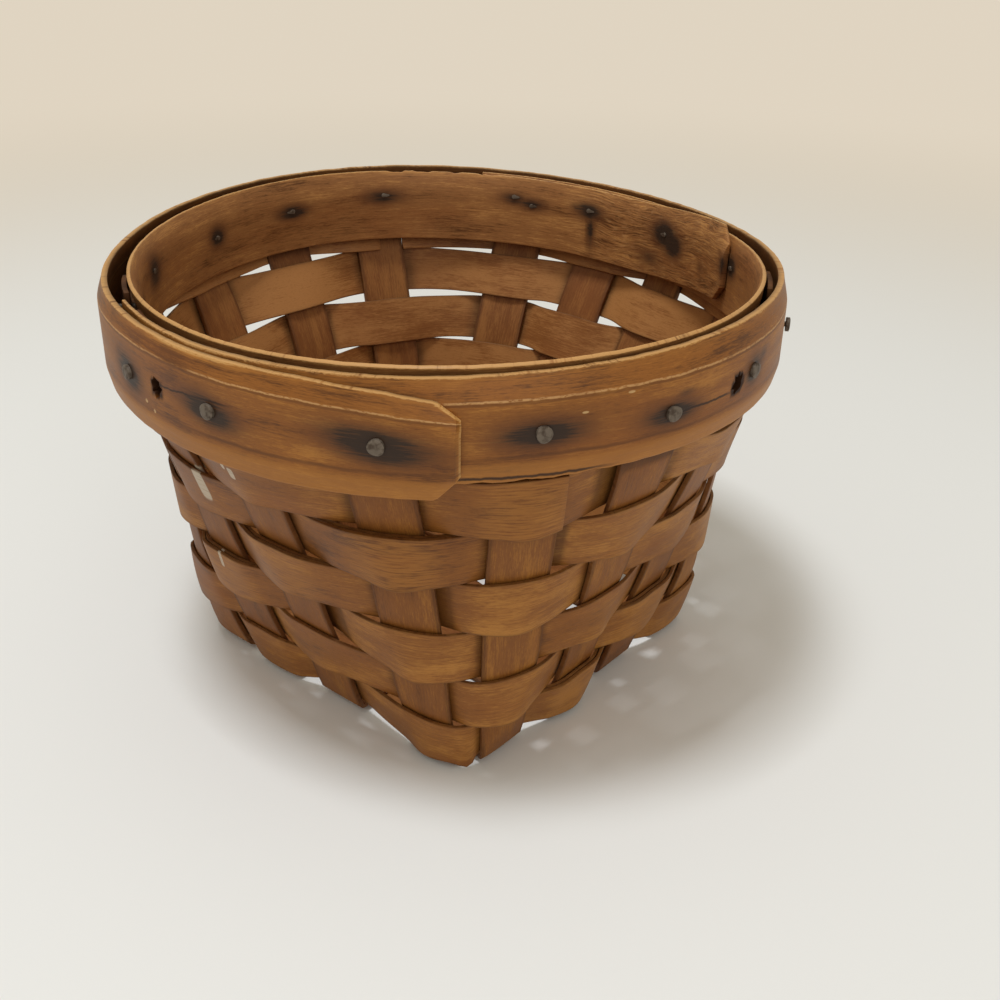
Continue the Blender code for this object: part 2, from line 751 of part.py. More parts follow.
def main():
    for old in list(bpy.data.objects):
        bpy.data.objects.remove(old)
    basket = bpy.data.collections.new("Splint basket")
    cutters = bpy.data.collections.new("Cutters")
    nail_holes = bpy.data.collections.new("Nail holes")
    hoop_holes = bpy.data.collections.new("Hoop holes")
    for collection in (basket, cutters):
        bpy.context.scene.collection.children.link(collection)
    for collection in (nail_holes, hoop_holes):
        cutters.children.link(collection)

    stake_wood = make_material("stake wood", (0.30, 0.145, 0.062), 0.55)
    weaver_wood = make_material("weaver wood", (0.34, 0.165, 0.070), 0.50)
    hoop_wood = make_material("hoop wood", (0.36, 0.180, 0.080), 0.48)
    iron = make_material("nail iron", (0.10, 0.085, 0.075), 0.60, 0.6)

    uprights = make_uprights()
    nails = nail_places(uprights)
    for number, place in enumerate(nails, 1):
        bore = make_bore(f"bore_{number:02d}", place, nail_holes)
        hoop_holes.objects.link(bore)
    for number, place in enumerate(WORN_HOLE_SHARES, 1):
        make_worn_hole(f"worn_hole_{number}", place, hoop_holes)

    pieces = []
    places = {"x": [], "y": []}
    for name, shares in STAKE_SHARES.items():
        places[name[6]].append(shares[0] * HALF_BASE)
    for name in STAKE_SHARES:
        pieces.append(make_stake(name, uprights, places, basket, stake_wood, nail_holes))
    for row in range(ROW_COUNT):
        pieces.append(make_weaver(f"weaver_{row + 1}", uprights, row, basket, weaver_wood))
    top_weaver = make_weaver("weaver_top", uprights, ROW_COUNT, basket, weaver_wood)
    cut_with(top_weaver, nail_holes)
    pieces.append(top_weaver)

    outer_end = OUTER_LAP_END + 360
    outer_heights = (
        OUTER_HOOP_BOTTOM,
        OUTER_HOOP_BOTTOM + OUTER_BOTTOM_BEVEL,
        BASKET_HEIGHT - OUTER_TOP_BEVEL,
        BASKET_HEIGHT,
    )
    outer = make_hoop("outer_hoop", Hoop(
        OUTER_LAP_START, outer_end, outer_end, OUTER_LAP_CLIP, outer_heights, (0, 3),
        OUTER_HOOP_THICKNESS, outer_hoop_radius, outer_droop, outer_thickness_share,
    ), hoop_wood, basket)
    cut_with(outer, hoop_holes)
    inner_heights = (
        BASKET_HEIGHT - INNER_HOOP_HEIGHT,
        BASKET_HEIGHT - INNER_TOP_BEVEL,
        BASKET_HEIGHT,
    )
    inner = make_hoop("inner_hoop", Hoop(
        INNER_LAP_START, INNER_LAP_END + 360, INNER_LAP_START, INNER_LAP_CLIP, inner_heights, (2,),
        INNER_HOOP_THICKNESS, inner_hoop_radius, inner_droop, inner_thickness_share,
    ), hoop_wood, basket)
    cut_with(inner, nail_holes)
    pieces += [outer, inner]
    for number, place in enumerate(nails, 1):
        pieces.append(make_nail(f"nail_{number:02d}", place, basket, iron))

    holder = bpy.data.objects.new("basket", None)
    basket.objects.link(holder)
    cutter_objects = list(nail_holes.objects) + [c for c in hoop_holes.objects if c.name[0] == "w"]
    for piece in pieces + cutter_objects:
        piece.parent = holder
    centre_on_origin(holder, pieces)


main()
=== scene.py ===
"""A small wood splint basket, dressed for its picture.

The CAD solids give the frame. Each splint, hoop and nail is modelled again here on
the same lines, finer, with the grain, stains and wear of old hardwood splints.
"""

import math
import random
from bisect import bisect_right
from functools import lru_cache

import bpy
from mathutils import Matrix, Vector


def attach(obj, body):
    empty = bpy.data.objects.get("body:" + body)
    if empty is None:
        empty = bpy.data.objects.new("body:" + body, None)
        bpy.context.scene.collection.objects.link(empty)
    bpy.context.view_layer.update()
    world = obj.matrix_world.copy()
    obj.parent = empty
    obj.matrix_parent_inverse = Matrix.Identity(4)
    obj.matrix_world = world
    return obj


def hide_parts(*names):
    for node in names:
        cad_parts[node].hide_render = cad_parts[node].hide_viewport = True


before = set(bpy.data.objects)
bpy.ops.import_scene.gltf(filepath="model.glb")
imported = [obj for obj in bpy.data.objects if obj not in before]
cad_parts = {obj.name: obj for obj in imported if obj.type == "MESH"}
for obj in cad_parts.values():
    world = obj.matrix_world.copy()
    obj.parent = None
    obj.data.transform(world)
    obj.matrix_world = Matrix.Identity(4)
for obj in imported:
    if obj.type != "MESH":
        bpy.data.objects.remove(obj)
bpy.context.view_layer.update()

MM = 0.001

# Where the middle of the basket lies from the origin
BASKET_PLACE = Vector((0.62, 1.24, 0.0)) * MM

# Sizes of the CAD model, in millimetres
RIM_RADIUS = 95.6
BASKET_HEIGHT = 126.5
HALF_BASE = 54.5
STAKE_WIDTH = 16.5
HALF_WIDTH = STAKE_WIDTH / 2
STAKE_THICKNESS = 1.4
WEAVER_THICKNESS = 1.0
SPLINT_GAP = 0.3
BEND_RADIUS = 2.0
ROW_COUNT = 6
ROW_GAP = 0.9
OUTER_HOOP_HEIGHT = 26.0
OUTER_HOOP_THICKNESS = 2.6
INNER_HOOP_HEIGHT = 23.5
INNER_HOOP_THICKNESS = 2.0
WEAVE_STEP = 1.5
PLY_STEP = 0.65
HALF_HOOP_SPACE = 2.3
WALL_RIM_RADIUS = 90.7
HOOP_BOTTOM = 100.5
STAKE_TOP = 123.5
ROWS_BOTTOM = 2.2
ROWS_TOP = 98.6
ROW_PITCH = (ROWS_TOP + ROW_GAP - ROWS_BOTTOM) / ROW_COUNT
TOP_ROW_BOTTOM = 99.3
BASE_MIDDLE = 1.55
CROSSING_STEP = 0.85
CORNER_REACH_SHARE = 1.376
CORNER_REACH = HALF_BASE * CORNER_REACH_SHARE
WALL_HEIGHT_SHARES = (0.0, 0.20, 0.45, 0.667, 0.84, 0.97, 1.0)
CORNER_GROWTH_SHARES = (0.0, 0.26, 0.38, 0.53, 0.77, 0.95, 1.0)
SIDE_GROWTH_SHARES = (0.0, 0.187, 0.413, 0.612, 0.80, 0.96, 1.0)
LEAN_POWER = 0.9
FIRST_CORNER = -math.pi / 4

# Stakes: place in the base as a share of half of it, and azimuth at the rim of the
# end at -X or -Y and of the end at +X or +Y
STAKES = {
    "stake_x_1": (-0.76, 210.5, 324.5),
    "stake_x_2": (-0.10, 185.5, 349.5),
    "stake_x_3": (0.38, 164.0, 7.9),
    "stake_x_4": (0.80, 145.5, 27.3),
    "stake_y_1": (-0.76, 232.5, 126.0),
    "stake_y_2": (-0.25, 252.0, 103.5),
    "stake_y_3": (0.23, 275.5, 80.3),
    "stake_y_4": (0.76, 299.0, 58.3),
}
LAP_STARTS = (12, 13, 8, 9, 10, 11, 4)
LAP_UPRIGHTS = 2
TIGHTENED = 0.35
VISIBLE_LAP_ROW = 5

OUTER_LAP_START, OUTER_LAP_END, OUTER_LAP_RISE = 158.0, 222.5, 40.0
OUTER_LAP_DROOP, OUTER_LAP_CLIP = 2.8, 5.5
INNER_LAP_START, INNER_LAP_END, INNER_LAP_RISE = -38.5, 35.0, 45.0
INNER_LAP_CLIP = 5.0
INNER_LAP_LIFT, INNER_LIFT_SPAN = 3.3, 40.0
OUTER_DEGREE = math.radians(1) * RIM_RADIUS
INNER_DEGREE = math.radians(1) * 86.0

# Widths of the worn edges
SPLINT_EDGE, OUTER_HOOP_EDGE, INNER_HOOP_EDGE, NAIL_EDGE = 0.2, 0.35, 0.3, 0.2
SHARP_DEGREES, SMOOTH_DEGREES = 50, 32

# The line worked along the outer hoop: degrees from its start, and height on the hoop
CREASE = ((0, 80, 105, 200, 330, 362, 395, 410, 424.5),
          (19.4, 19.6, 19.0, 20.2, 20.6, 21.6, 22.0, 21.2, 18.8))

# How far the top edge of the lap comes down, by degrees from the hoop's start
LAP_NARROWS = ((360, 385, 402, 408, 414, 420, 424.5), (0.0, -0.5, -0.8, -0.1, 0.6, 2.0, 2.4))

# Nails: azimuth and height of the head, how far it stands out, and the stains round it
# outside and inside, as reach along the hoop, reach across it, and strength
NAILS = [
    (320.3, 118.2, 0.0, (5.0, 2.4, 0.8), (4.4, 3.4, 1.1)),
    (346.4, 118.7, 0.0, (7.0, 2.8, 0.9), (6.2, 3.8, 1.35)),
    (9.0, 119.0, 0.0, (6.0, 2.6, 0.8), (5.6, 2.5, 1.1)),
    (27.4, 119.0, 0.0, (6.0, 2.4, 0.8), (5.0, 1.8, 0.85)),
    (23.2, 117.9, 0.0, (5.0, 2.4, 0.8), (5.5, 1.8, 0.85)),
    (57.6, 117.7, 0.0, (8.0, 2.6, 0.9), (7.5, 2.2, 0.9)),
    (80.1, 115.8, 0.0, (6.0, 2.6, 0.8), (6.5, 2.2, 1.05)),
    (102.0, 115.1, 0.0, (6.0, 2.8, 0.9), (3.8, 3.2, 1.0)),
    (128.0, 116.9, 0.0, (7.0, 2.8, 0.8), (5.6, 4.6, 0.9)),
    (141.0, 114.8, 0.0, (6.0, 3.0, 0.8), (4.0, 2.5, 0.6)),
    (166.4, 113.0, 0.0, (6.5, 4.4, 1.1), (3.0, 2.0, 0.5)),
    (186.2, 113.0, 0.0, (8.5, 3.8, 1.1), (3.0, 2.0, 0.5)),
    (211.7, 111.4, 0.0, (12.0, 4.0, 1.15), (5.0, 2.2, 0.7)),
    (233.4, 112.2, 0.0, (10.5, 3.6, 0.95), (4.0, 2.0, 0.6)),
    (253.0, 110.9, 0.0, (8.0, 3.0, 0.95), (4.0, 2.0, 0.6)),
    (272.3, 112.7, 0.0, (4.6, 3.6, 1.05), (4.0, 2.0, 0.6)),
    (299.9, 110.7, 1.2, (3.5, 2.0, 0.7), (4.0, 2.0, 0.6)),
]
OUTER_SMEARS = [(255.2, 115.0, (3.2, 1.0, 0.5)), (275.4, 115.6, (2.6, 1.6, 0.6)),
                (188.5, 110.6, (4.5, 1.6, 0.5)), (163.5, 116.2, (2.6, 1.8, 0.6))]
INNER_SMEARS = [(343.2, 116.4, (5.4, 4.0, 1.2)), (8.4, 112.5, (1.8, 6.0, 0.8)),
                (12.0, 119.6, (3.0, 1.4, 0.6)), (351.0, 109.5, (6.5, 3.0, 0.5)),
                (332.0, 113.5, (3.0, 2.0, 0.35))]
# Worn holes: azimuth, height, half of their width and height, and lean
WORN_HOLES = [(174.9, 113.4, 2.0, 2.5, 8.0), (267.3, 111.6, 2.2, 2.6, -32.0)]

# How far the inner hoop's top edge leans out to the outer one and stands up, by azimuth
PINCH_PLACES = (0, 60, 110, 150, 180, 200, 225, 258, 280, 325, 360)
PINCHES = (1.4, 1.3, 1.6, 2.6, 2.3, 3.1, 3.3, 3.1, 2.2, 1.7, 1.4)
RISES = (0.0, 0.0, 0.0, 0.0, 0.2, 0.9, 1.0, 0.5, 0.0, 0.0, 0.0)

# Changes to the edges of a row at an upright: lower edge and upper edge
EDGE_SHIFTS = {
    (5, 12): (0.0, 0.9), (5, 13): (0.0, 0.7), (5, 14): (0.3, -3.4), (5, 15): (0.0, -1.8),
    (5, 4): (0.2, -0.9), (5, 5): (0.3, -1.6), (4, 4): (0.0, -1.1), (4, 5): (0.0, -0.7),
    (5, 2): (0.2, -1.3), (5, 3): (0.4, -1.4), (4, 2): (0.0, -0.9), (4, 3): (0.0, -1.2),
    (5, 6): (0.2, -0.6), (4, 6): (0.0, -0.3), (5, 1): (0.2, -1.4), (4, 1): (0.0, -0.5),
    (5, 0): (0.0, -1.0), (6, 12): (0.9, 0.0), (6, 13): (0.8, 0.0),
}
for place, lowered in enumerate((0.8, 1.1, 1.2, 1.2, 1.2, 1.1, 0.8)):
    EDGE_SHIFTS[6, place] = (-lowered, -lowered)

# Painted light: a lighter colour at the uprights on one side, where more light should fall
PAINTED_LIGHT = {12: 0.06, 13: 0.14, 14: 0.18, 15: 0.16}


def smooth_step(t):
    """Eases from 0 to 1."""
    t = min(max(t, 0.0), 1.0)
    return t * t * (3 - 2 * t)


def rise_and_fall(x, start, rise, end, fall):
    """Eases from 0 to 1 after the start and back to 0 before the end."""
    return smooth_step((x - start) / rise) * smooth_step((end - x) / fall)


def curve_through(xs, ys, x):
    """Smooth curve through the points of a table."""
    last = len(xs) - 1
    x = min(max(x, xs[0]), xs[last])
    k = min(bisect_right(xs, x) - 1, last - 1)
    slopes = []
    for i in (k, k + 1):
        low, high = max(i - 1, 0), min(i + 1, last)
        slopes.append((ys[high] - ys[low]) / (xs[high] - xs[low]))
    h = xs[k + 1] - xs[k]
    t = (x - xs[k]) / h
    return ((2 * t**3 - 3 * t**2 + 1) * ys[k] + (t**3 - 2 * t**2 + t) * h * slopes[0]
            + (3 * t**2 - 2 * t**3) * ys[k + 1] + (t**3 - t**2) * h * slopes[1])


def out_of_round(azimuth, height):
    """How far the wall stands out and up from an even one."""
    share = smooth_step(height / HOOP_BOTTOM)
    oval = 2.2 * math.cos(2 * (azimuth - math.radians(42)))
    swell = 1.2 * math.cos(3 * (azimuth - math.radians(18)))
    wave = 1.9 * math.cos(2 * (azimuth - math.radians(82)))
    pulled = 1.2 * math.sin(azimuth - math.radians(41)) ** 6
    return (oval + swell + pulled) * share, wave * share


def settle(point):
    """A point of the even basket, moved as the rim has settled."""
    out, up = out_of_round(math.atan2(point.y, point.x), point.z)
    return point + Vector((point.x, point.y, 0.0)).normalized() * out + Vector((0, 0, up))


@lru_cache(maxsize=None)
def wall_reach(height):
    """Distance from the axis to the middle of a side, and the power of the outline."""
    share = height / HOOP_BOTTOM
    side_growth = curve_through(WALL_HEIGHT_SHARES, SIDE_GROWTH_SHARES, share)
    corner_growth = curve_through(WALL_HEIGHT_SHARES, CORNER_GROWTH_SHARES, share)
    side = HALF_BASE + (WALL_RIM_RADIUS - HALF_BASE) * side_growth
    corner = CORNER_REACH + (WALL_RIM_RADIUS - CORNER_REACH) * corner_growth
    ratio = min(max(corner / side, 1.0), CORNER_REACH_SHARE)
    return side, 1 / (0.5 - math.log2(ratio))


def wall_point(azimuth, height):
    side, power = wall_reach(height)
    across, along = math.cos(azimuth), math.sin(azimuth)
    radius = side / (abs(across) ** power + abs(along) ** power) ** (1 / power)
    return Vector((radius * across, radius * along, height))


def wall_normal(azimuth, height):
    turn = 0.0009
    along = wall_point(azimuth + turn, height) - wall_point(azimuth - turn, height)
    return along.cross(Vector((0, 0, 1))).normalized()


def azimuth_beside(azimuth, height, distance):
    start = wall_point(azimuth, height)
    turn = distance / start.xy.length
    for _ in range(5):
        reached = (wall_point(azimuth + turn, height) - start).length
        turn *= abs(distance) / reached
    return azimuth + turn


def count_azimuth(azimuth):
    return (azimuth - FIRST_CORNER) % math.tau + FIRST_CORNER


class Upright:
    """One end of a stake, standing in the wall."""

    def __init__(self, stake, side, place, rim_degrees):
        self.stake = stake
        self.side = side
        foot = (side * HALF_BASE, place) if stake[6] == "x" else (place, side * HALF_BASE)
        self.base_azimuth = count_azimuth(math.atan2(foot[1], foot[0]))
        self.rim_azimuth = count_azimuth(math.radians(rim_degrees))
        self.edges = {}

    def azimuth(self, height):
        share = min(max(height / HOOP_BOTTOM, 0.0), 1.0) ** LEAN_POWER
        return self.base_azimuth + (self.rim_azimuth - self.base_azimuth) * share

    def strand_azimuth(self, strand, height):
        """Azimuth of a line along the upright, from -1 at one edge to 1 at the other."""
        height = round(height, 2)
        if height not in self.edges:
            middle = self.azimuth(height)
            self.edges[height] = (azimuth_beside(middle, height, -HALF_WIDTH), middle,
                                  azimuth_beside(middle, height, HALF_WIDTH))
        low, middle, high = self.edges[height]
        return middle + (high - middle) * strand if strand > 0 else middle + (middle - low) * strand


def make_uprights():
    uprights = []
    for stake, (place, near, far) in STAKES.items():
        uprights.append(Upright(stake, -1, place * HALF_BASE, near))
        uprights.append(Upright(stake, 1, place * HALF_BASE, far))
    return sorted(uprights, key=lambda upright: upright.rim_azimuth)


UPRIGHTS = make_uprights()
COUNT = len(UPRIGHTS)


def goes_outside(number, row):
    return (number + row) % 2 == 1


# ---- Meshes ----


def deselect_all():
    bpy.ops.object.select_all(action="DESELECT")


def choose(piece):
    deselect_all()
    bpy.context.view_layer.objects.active = piece
    piece.select_set(True)


def add_modifier(piece, kind, **settings):
    modifier = piece.modifiers.new(kind.lower(), kind)
    for name, value in settings.items():
        setattr(modifier, name, value)
    return modifier


def apply_modifiers(piece):
    """Applies every modifier of a piece in their order."""
    choose(piece)
    for modifier in list(piece.modifiers):
        bpy.ops.object.modifier_apply(modifier=modifier.name)


def smooth_by_angle(piece):
    choose(piece)
    bpy.ops.object.shade_smooth_by_angle(angle=math.radians(SMOOTH_DEGREES))


def strip(name, columns, along, across):
    """A grid moved onto columns of points in millimetres, with its UVs in metres.

    along holds each column's distance along the strip, and across for each row its
    distance across it at every column.
    """
    length, width = len(columns) - 1, len(columns[0]) - 1
    deselect_all()
    bpy.ops.mesh.primitive_grid_add(x_subdivisions=length, y_subdivisions=width, size=1)
    piece = bpy.context.object
    piece.name = piece.data.name = name
    points, marks = [], []
    for row in range(width + 1):
        for column in range(length + 1):
            points += [c * MM + b for c, b in zip(columns[column][row], BASKET_PLACE)]
            marks.append((along[column] * MM, across[row][column] * MM))
    mesh = piece.data
    mesh.vertices.foreach_set("co", points)
    flat = []
    for loop in mesh.loops:
        flat += marks[loop.vertex_index]
    mesh.uv_layers[0].uv.foreach_set("vector", flat)
    mesh.update()
    return piece


def paint(piece, columns, **marks):
    """Gives each vertex of a thickened strip its numbers, by its column, row and side."""
    vertices = piece.data.vertices
    half = len(vertices) // 2
    first_outside = vertices[0].co.xy.length > vertices[half].co.xy.length
    for name, number_at in marks.items():
        layer = piece.data.attributes.new(name, "FLOAT", "POINT")
        layer.data.foreach_set("value", [
            number_at(k % half % columns, k % half // columns, (k < half) == first_outside)
            for k in range(len(vertices))])


def thicken(piece, thickness, offset=0.0, shares=None):
    """Gives a sheet its thickness, scaled at each vertex where shares are given."""
    solid = add_modifier(piece, "SOLIDIFY", thickness=thickness * MM, offset=offset,
                         use_even_offset=True, use_quality_normals=True)
    if shares:
        group = piece.vertex_groups.new(name="thickness")
        for index, share in enumerate(shares):
            group.add([index], share, "REPLACE")
        solid.vertex_group = group.name
    apply_modifiers(piece)


def round_edges(piece, width, degrees=SHARP_DEGREES):
    add_modifier(piece, "BEVEL", width=width * MM, segments=2, limit_method="ANGLE",
                 angle_limit=math.radians(degrees), use_clamp_overlap=True)
    apply_modifiers(piece)
    smooth_by_angle(piece)


def finish(piece, nodes, material):
    """Puts a finished piece in its node's place."""
    piece.data.materials.clear()
    piece.data.materials.append(material)
    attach(piece, "root")
    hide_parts(*nodes)


def running_lengths(points):
    """Distance of each point from the first, along the line through them."""
    lengths = [0.0]
    for first, second in zip(points, points[1:]):
        lengths.append(lengths[-1] + (second - first).length)
    return lengths


def lay_splint(name, columns, marks, thickness, chance):
    """A splint of even thickness, its grain starting at a place of its own."""
    start, side = chance.uniform(0, 4000), chance.uniform(-300, 300)
    along = [length + start for length in running_lengths([column[5] for column in columns])]
    piece = strip(name, columns, along, [[mark + side] * len(columns) for mark in marks])
    thicken(piece, thickness)
    return piece


def on_outside(column, row, outside):
    return float(outside)


# ---- Stakes ----

# Lines of points along a stake, and steps up a wall, round a bend and across the base
WALL_STEPS, BEND_STEPS, BASE_STEPS = 62, 7, 50
NEAR_END_COLUMNS = 60
WEAVER_PUSH = 0.28
STRANDS = [-1.0, -0.93, -0.8, -0.5, -0.25, 0.0, 0.25, 0.5, 0.8, 0.93, 1.0]


def stake_goes_over(row, column):
    return (row + column) % 2 == 1


def base_knots(index, along_x, crossed):
    """Places and heights along a stake in the base, at its crossings' edges."""
    knots = []
    for other, place in enumerate(crossed):
        over = stake_goes_over(index, other) if along_x else not stake_goes_over(other, index)
        height = BASE_MIDDLE + (CROSSING_STEP if over else -CROSSING_STEP)
        if knots:
            knots.append(((knots[-1][0] + place - HALF_WIDTH) / 2, BASE_MIDDLE))
        knots += [(place - HALF_WIDTH, height), (place, height), (place + HALF_WIDTH, height)]
    return knots


def stake_frame(along_x, along, aside, height):
    return Vector((along, aside, height)) if along_x else Vector((-aside, along, height))


def stake_push(number):
    """Heights and pushes of an upright, away from the weavers that pass it."""
    heights, pushes = [0.0, BEND_RADIUS], [0.0, 0.0]
    for row in range(ROW_COUNT):
        heights.append(ROWS_BOTTOM + ROW_PITCH * (row + 0.5))
        pushes.append(-WEAVER_PUSH if goes_outside(number, row) else WEAVER_PUSH)
    return heights + [HOOP_BOTTOM, STAKE_TOP], pushes + [0.0, 0.0]


def bend_and_wall(upright, along_x, strand, lateral, level, shift):
    """Points of one strand of a stake from the base's edge to its top."""
    side = upright.side
    turned = strand * side
    spring = level + BEND_RADIUS
    foot = wall_point(upright.strand_azimuth(turned, spring), spring)
    reach, aside = (foot.x, foot.y) if along_x else (foot.y, -foot.x)
    points = []
    for step in range(BEND_STEPS):
        angle = math.pi / 2 * step / BEND_STEPS
        along = reach - side * BEND_RADIUS * (1 - math.sin(angle))
        place = lateral + (aside - lateral) * math.sin(angle)
        height = level + BEND_RADIUS * (1 - math.cos(angle))
        points.append(stake_frame(along_x, along, place, height))
    heights, pushes = stake_push(UPRIGHTS.index(upright))
    for step in range(WALL_STEPS + 1):
        height = spring + (STAKE_TOP + shift - spring) * step / WALL_STEPS
        azimuth = upright.strand_azimuth(turned, height)
        out = curve_through(heights, pushes, height)
        cup = 0.10 * (strand * strand - 0.4)
        points.append(wall_point(azimuth, height) + wall_normal(azimuth, height) * (out - cup))
    return points


def make_stake(name, chance):
    along_x = name[6] == "x"
    index = int(name[-1]) - 1
    shares = [STAKES[key][0] * HALF_BASE for key in STAKES if key[6] == name[6]]
    others = [STAKES[key][0] * HALF_BASE for key in STAKES if key[6] != name[6]]
    own = shares[index] if along_x else -shares[index]
    knots = base_knots(index, along_x, others)
    near, far = (next(u for u in UPRIGHTS if u.stake == name and u.side == side)
                 for side in (-1, 1))
    xs, zs = zip(*knots)
    base = [xs[0] + (xs[-1] - xs[0]) * step / BASE_STEPS for step in range(BASE_STEPS + 1)]
    slants = (chance.uniform(-0.6, 0.6), chance.uniform(-0.6, 0.6))
    strands = []
    for strand in STRANDS:
        lateral = own + strand * HALF_WIDTH
        down = bend_and_wall(near, along_x, strand, lateral, zs[0], slants[0] * strand)[::-1]
        across = [stake_frame(along_x, x, lateral, curve_through(xs, zs, x)) for x in base]
        up = bend_and_wall(far, along_x, strand, lateral, zs[-1], slants[1] * strand)
        strands.append([settle(point) for point in down + across + up])
    columns = list(zip(*strands))
    piece = lay_splint(name + "_splint", columns, [strand * HALF_WIDTH for strand in STRANDS],
                       STAKE_THICKNESS, chance)
    piece_tone = chance.uniform(-0.10, 0.10)
    painted_light = PAINTED_LIGHT.get(UPRIGHTS.index(near), 0.0)
    heights = [column[5].z for column in columns]

    # Painted shade: darker where the stake runs down behind the hoops, and along both edges, where
    # the weavers dive beside it.
    def dirt(column, row, outside):
        hidden = smooth_step((heights[column] - (96.5 if outside else 101)) / 2)
        return max(0.85 * hidden, 0.6 * smooth_step((abs(STRANDS[row]) - 0.8) / 0.14))

    # Random tone of the stake, painted light on the uprights on one side, and the inside face
    # painted lighter, standing in for light inside the basket.
    def tone(column, row, outside):
        own = piece_tone + (painted_light if column < NEAR_END_COLUMNS else 0.0)
        return own + (0.0 if outside else 0.15)

    paint(piece, len(columns), dirt=dirt, outer=on_outside, tone=tone)
    return piece


# ---- Weavers ----

# Share of the bow left to the humps at the uprights near the outline
FLATTER = {15: 0.35, 0: 0.4, 14: 0.7, 8: 0.5, 9: 0.6}
# Lines of points along a weaver
HALF_WEAVER_WIDTH = 7.65
WEAVER_POINT_STEP = 1.6
ACROSS = [-1.0, -0.93, -0.82, -0.6, -0.3, 0.0, 0.3, 0.6, 0.82, 0.93, 1.0]


def ply_offset(number, share, weave, start, lapped):
    """Offset of a weaver's middle from the wall, drawn apart where it laps itself."""
    offset = WEAVE_STEP * weave
    widened = (WEAVE_STEP + PLY_STEP) * weave
    covered_end = start + LAP_UPRIGHTS
    if not lapped:
        return offset
    if number > covered_end:
        return widened + PLY_STEP if number >= start + COUNT else offset
    if number == covered_end and share:
        return widened - PLY_STEP + (offset - widened + PLY_STEP) * smooth_step(share)
    return widened - PLY_STEP


def row_edges_at(row, number, share, weave):
    """Lower and upper edge of a weaver."""
    if row == ROW_COUNT:
        return TOP_ROW_BOTTOM, TOP_ROW_BOTTOM + ROW_PITCH - ROW_GAP
    tightened = 0.15 if share else TIGHTENED
    bottom = ROWS_BOTTOM + ROW_PITCH * row - tightened
    top = bottom + ROW_PITCH - ROW_GAP + 2 * tightened
    if row == 0:
        if share:
            bottom = 3.5
            pair = (UPRIGHTS[k % COUNT].stake[:-1] for k in (number, number + 1))
            if len(set(pair)) == 2:
                bottom = 0.9
        elif weave < 0:
            bottom = 4.8
        else:
            bottom = ROWS_BOTTOM
    return bottom, top


def strand_azimuth_round(number, strand, height):
    turns, place = divmod(number, COUNT)
    return UPRIGHTS[place].strand_azimuth(strand, height) + turns * math.tau


def knot_azimuth(knot, height):
    number, strand, share = knot
    azimuth = strand_azimuth_round(number, strand, height)
    if share:
        azimuth += (strand_azimuth_round(number + 1, -1, height) - azimuth) * share
    return azimuth


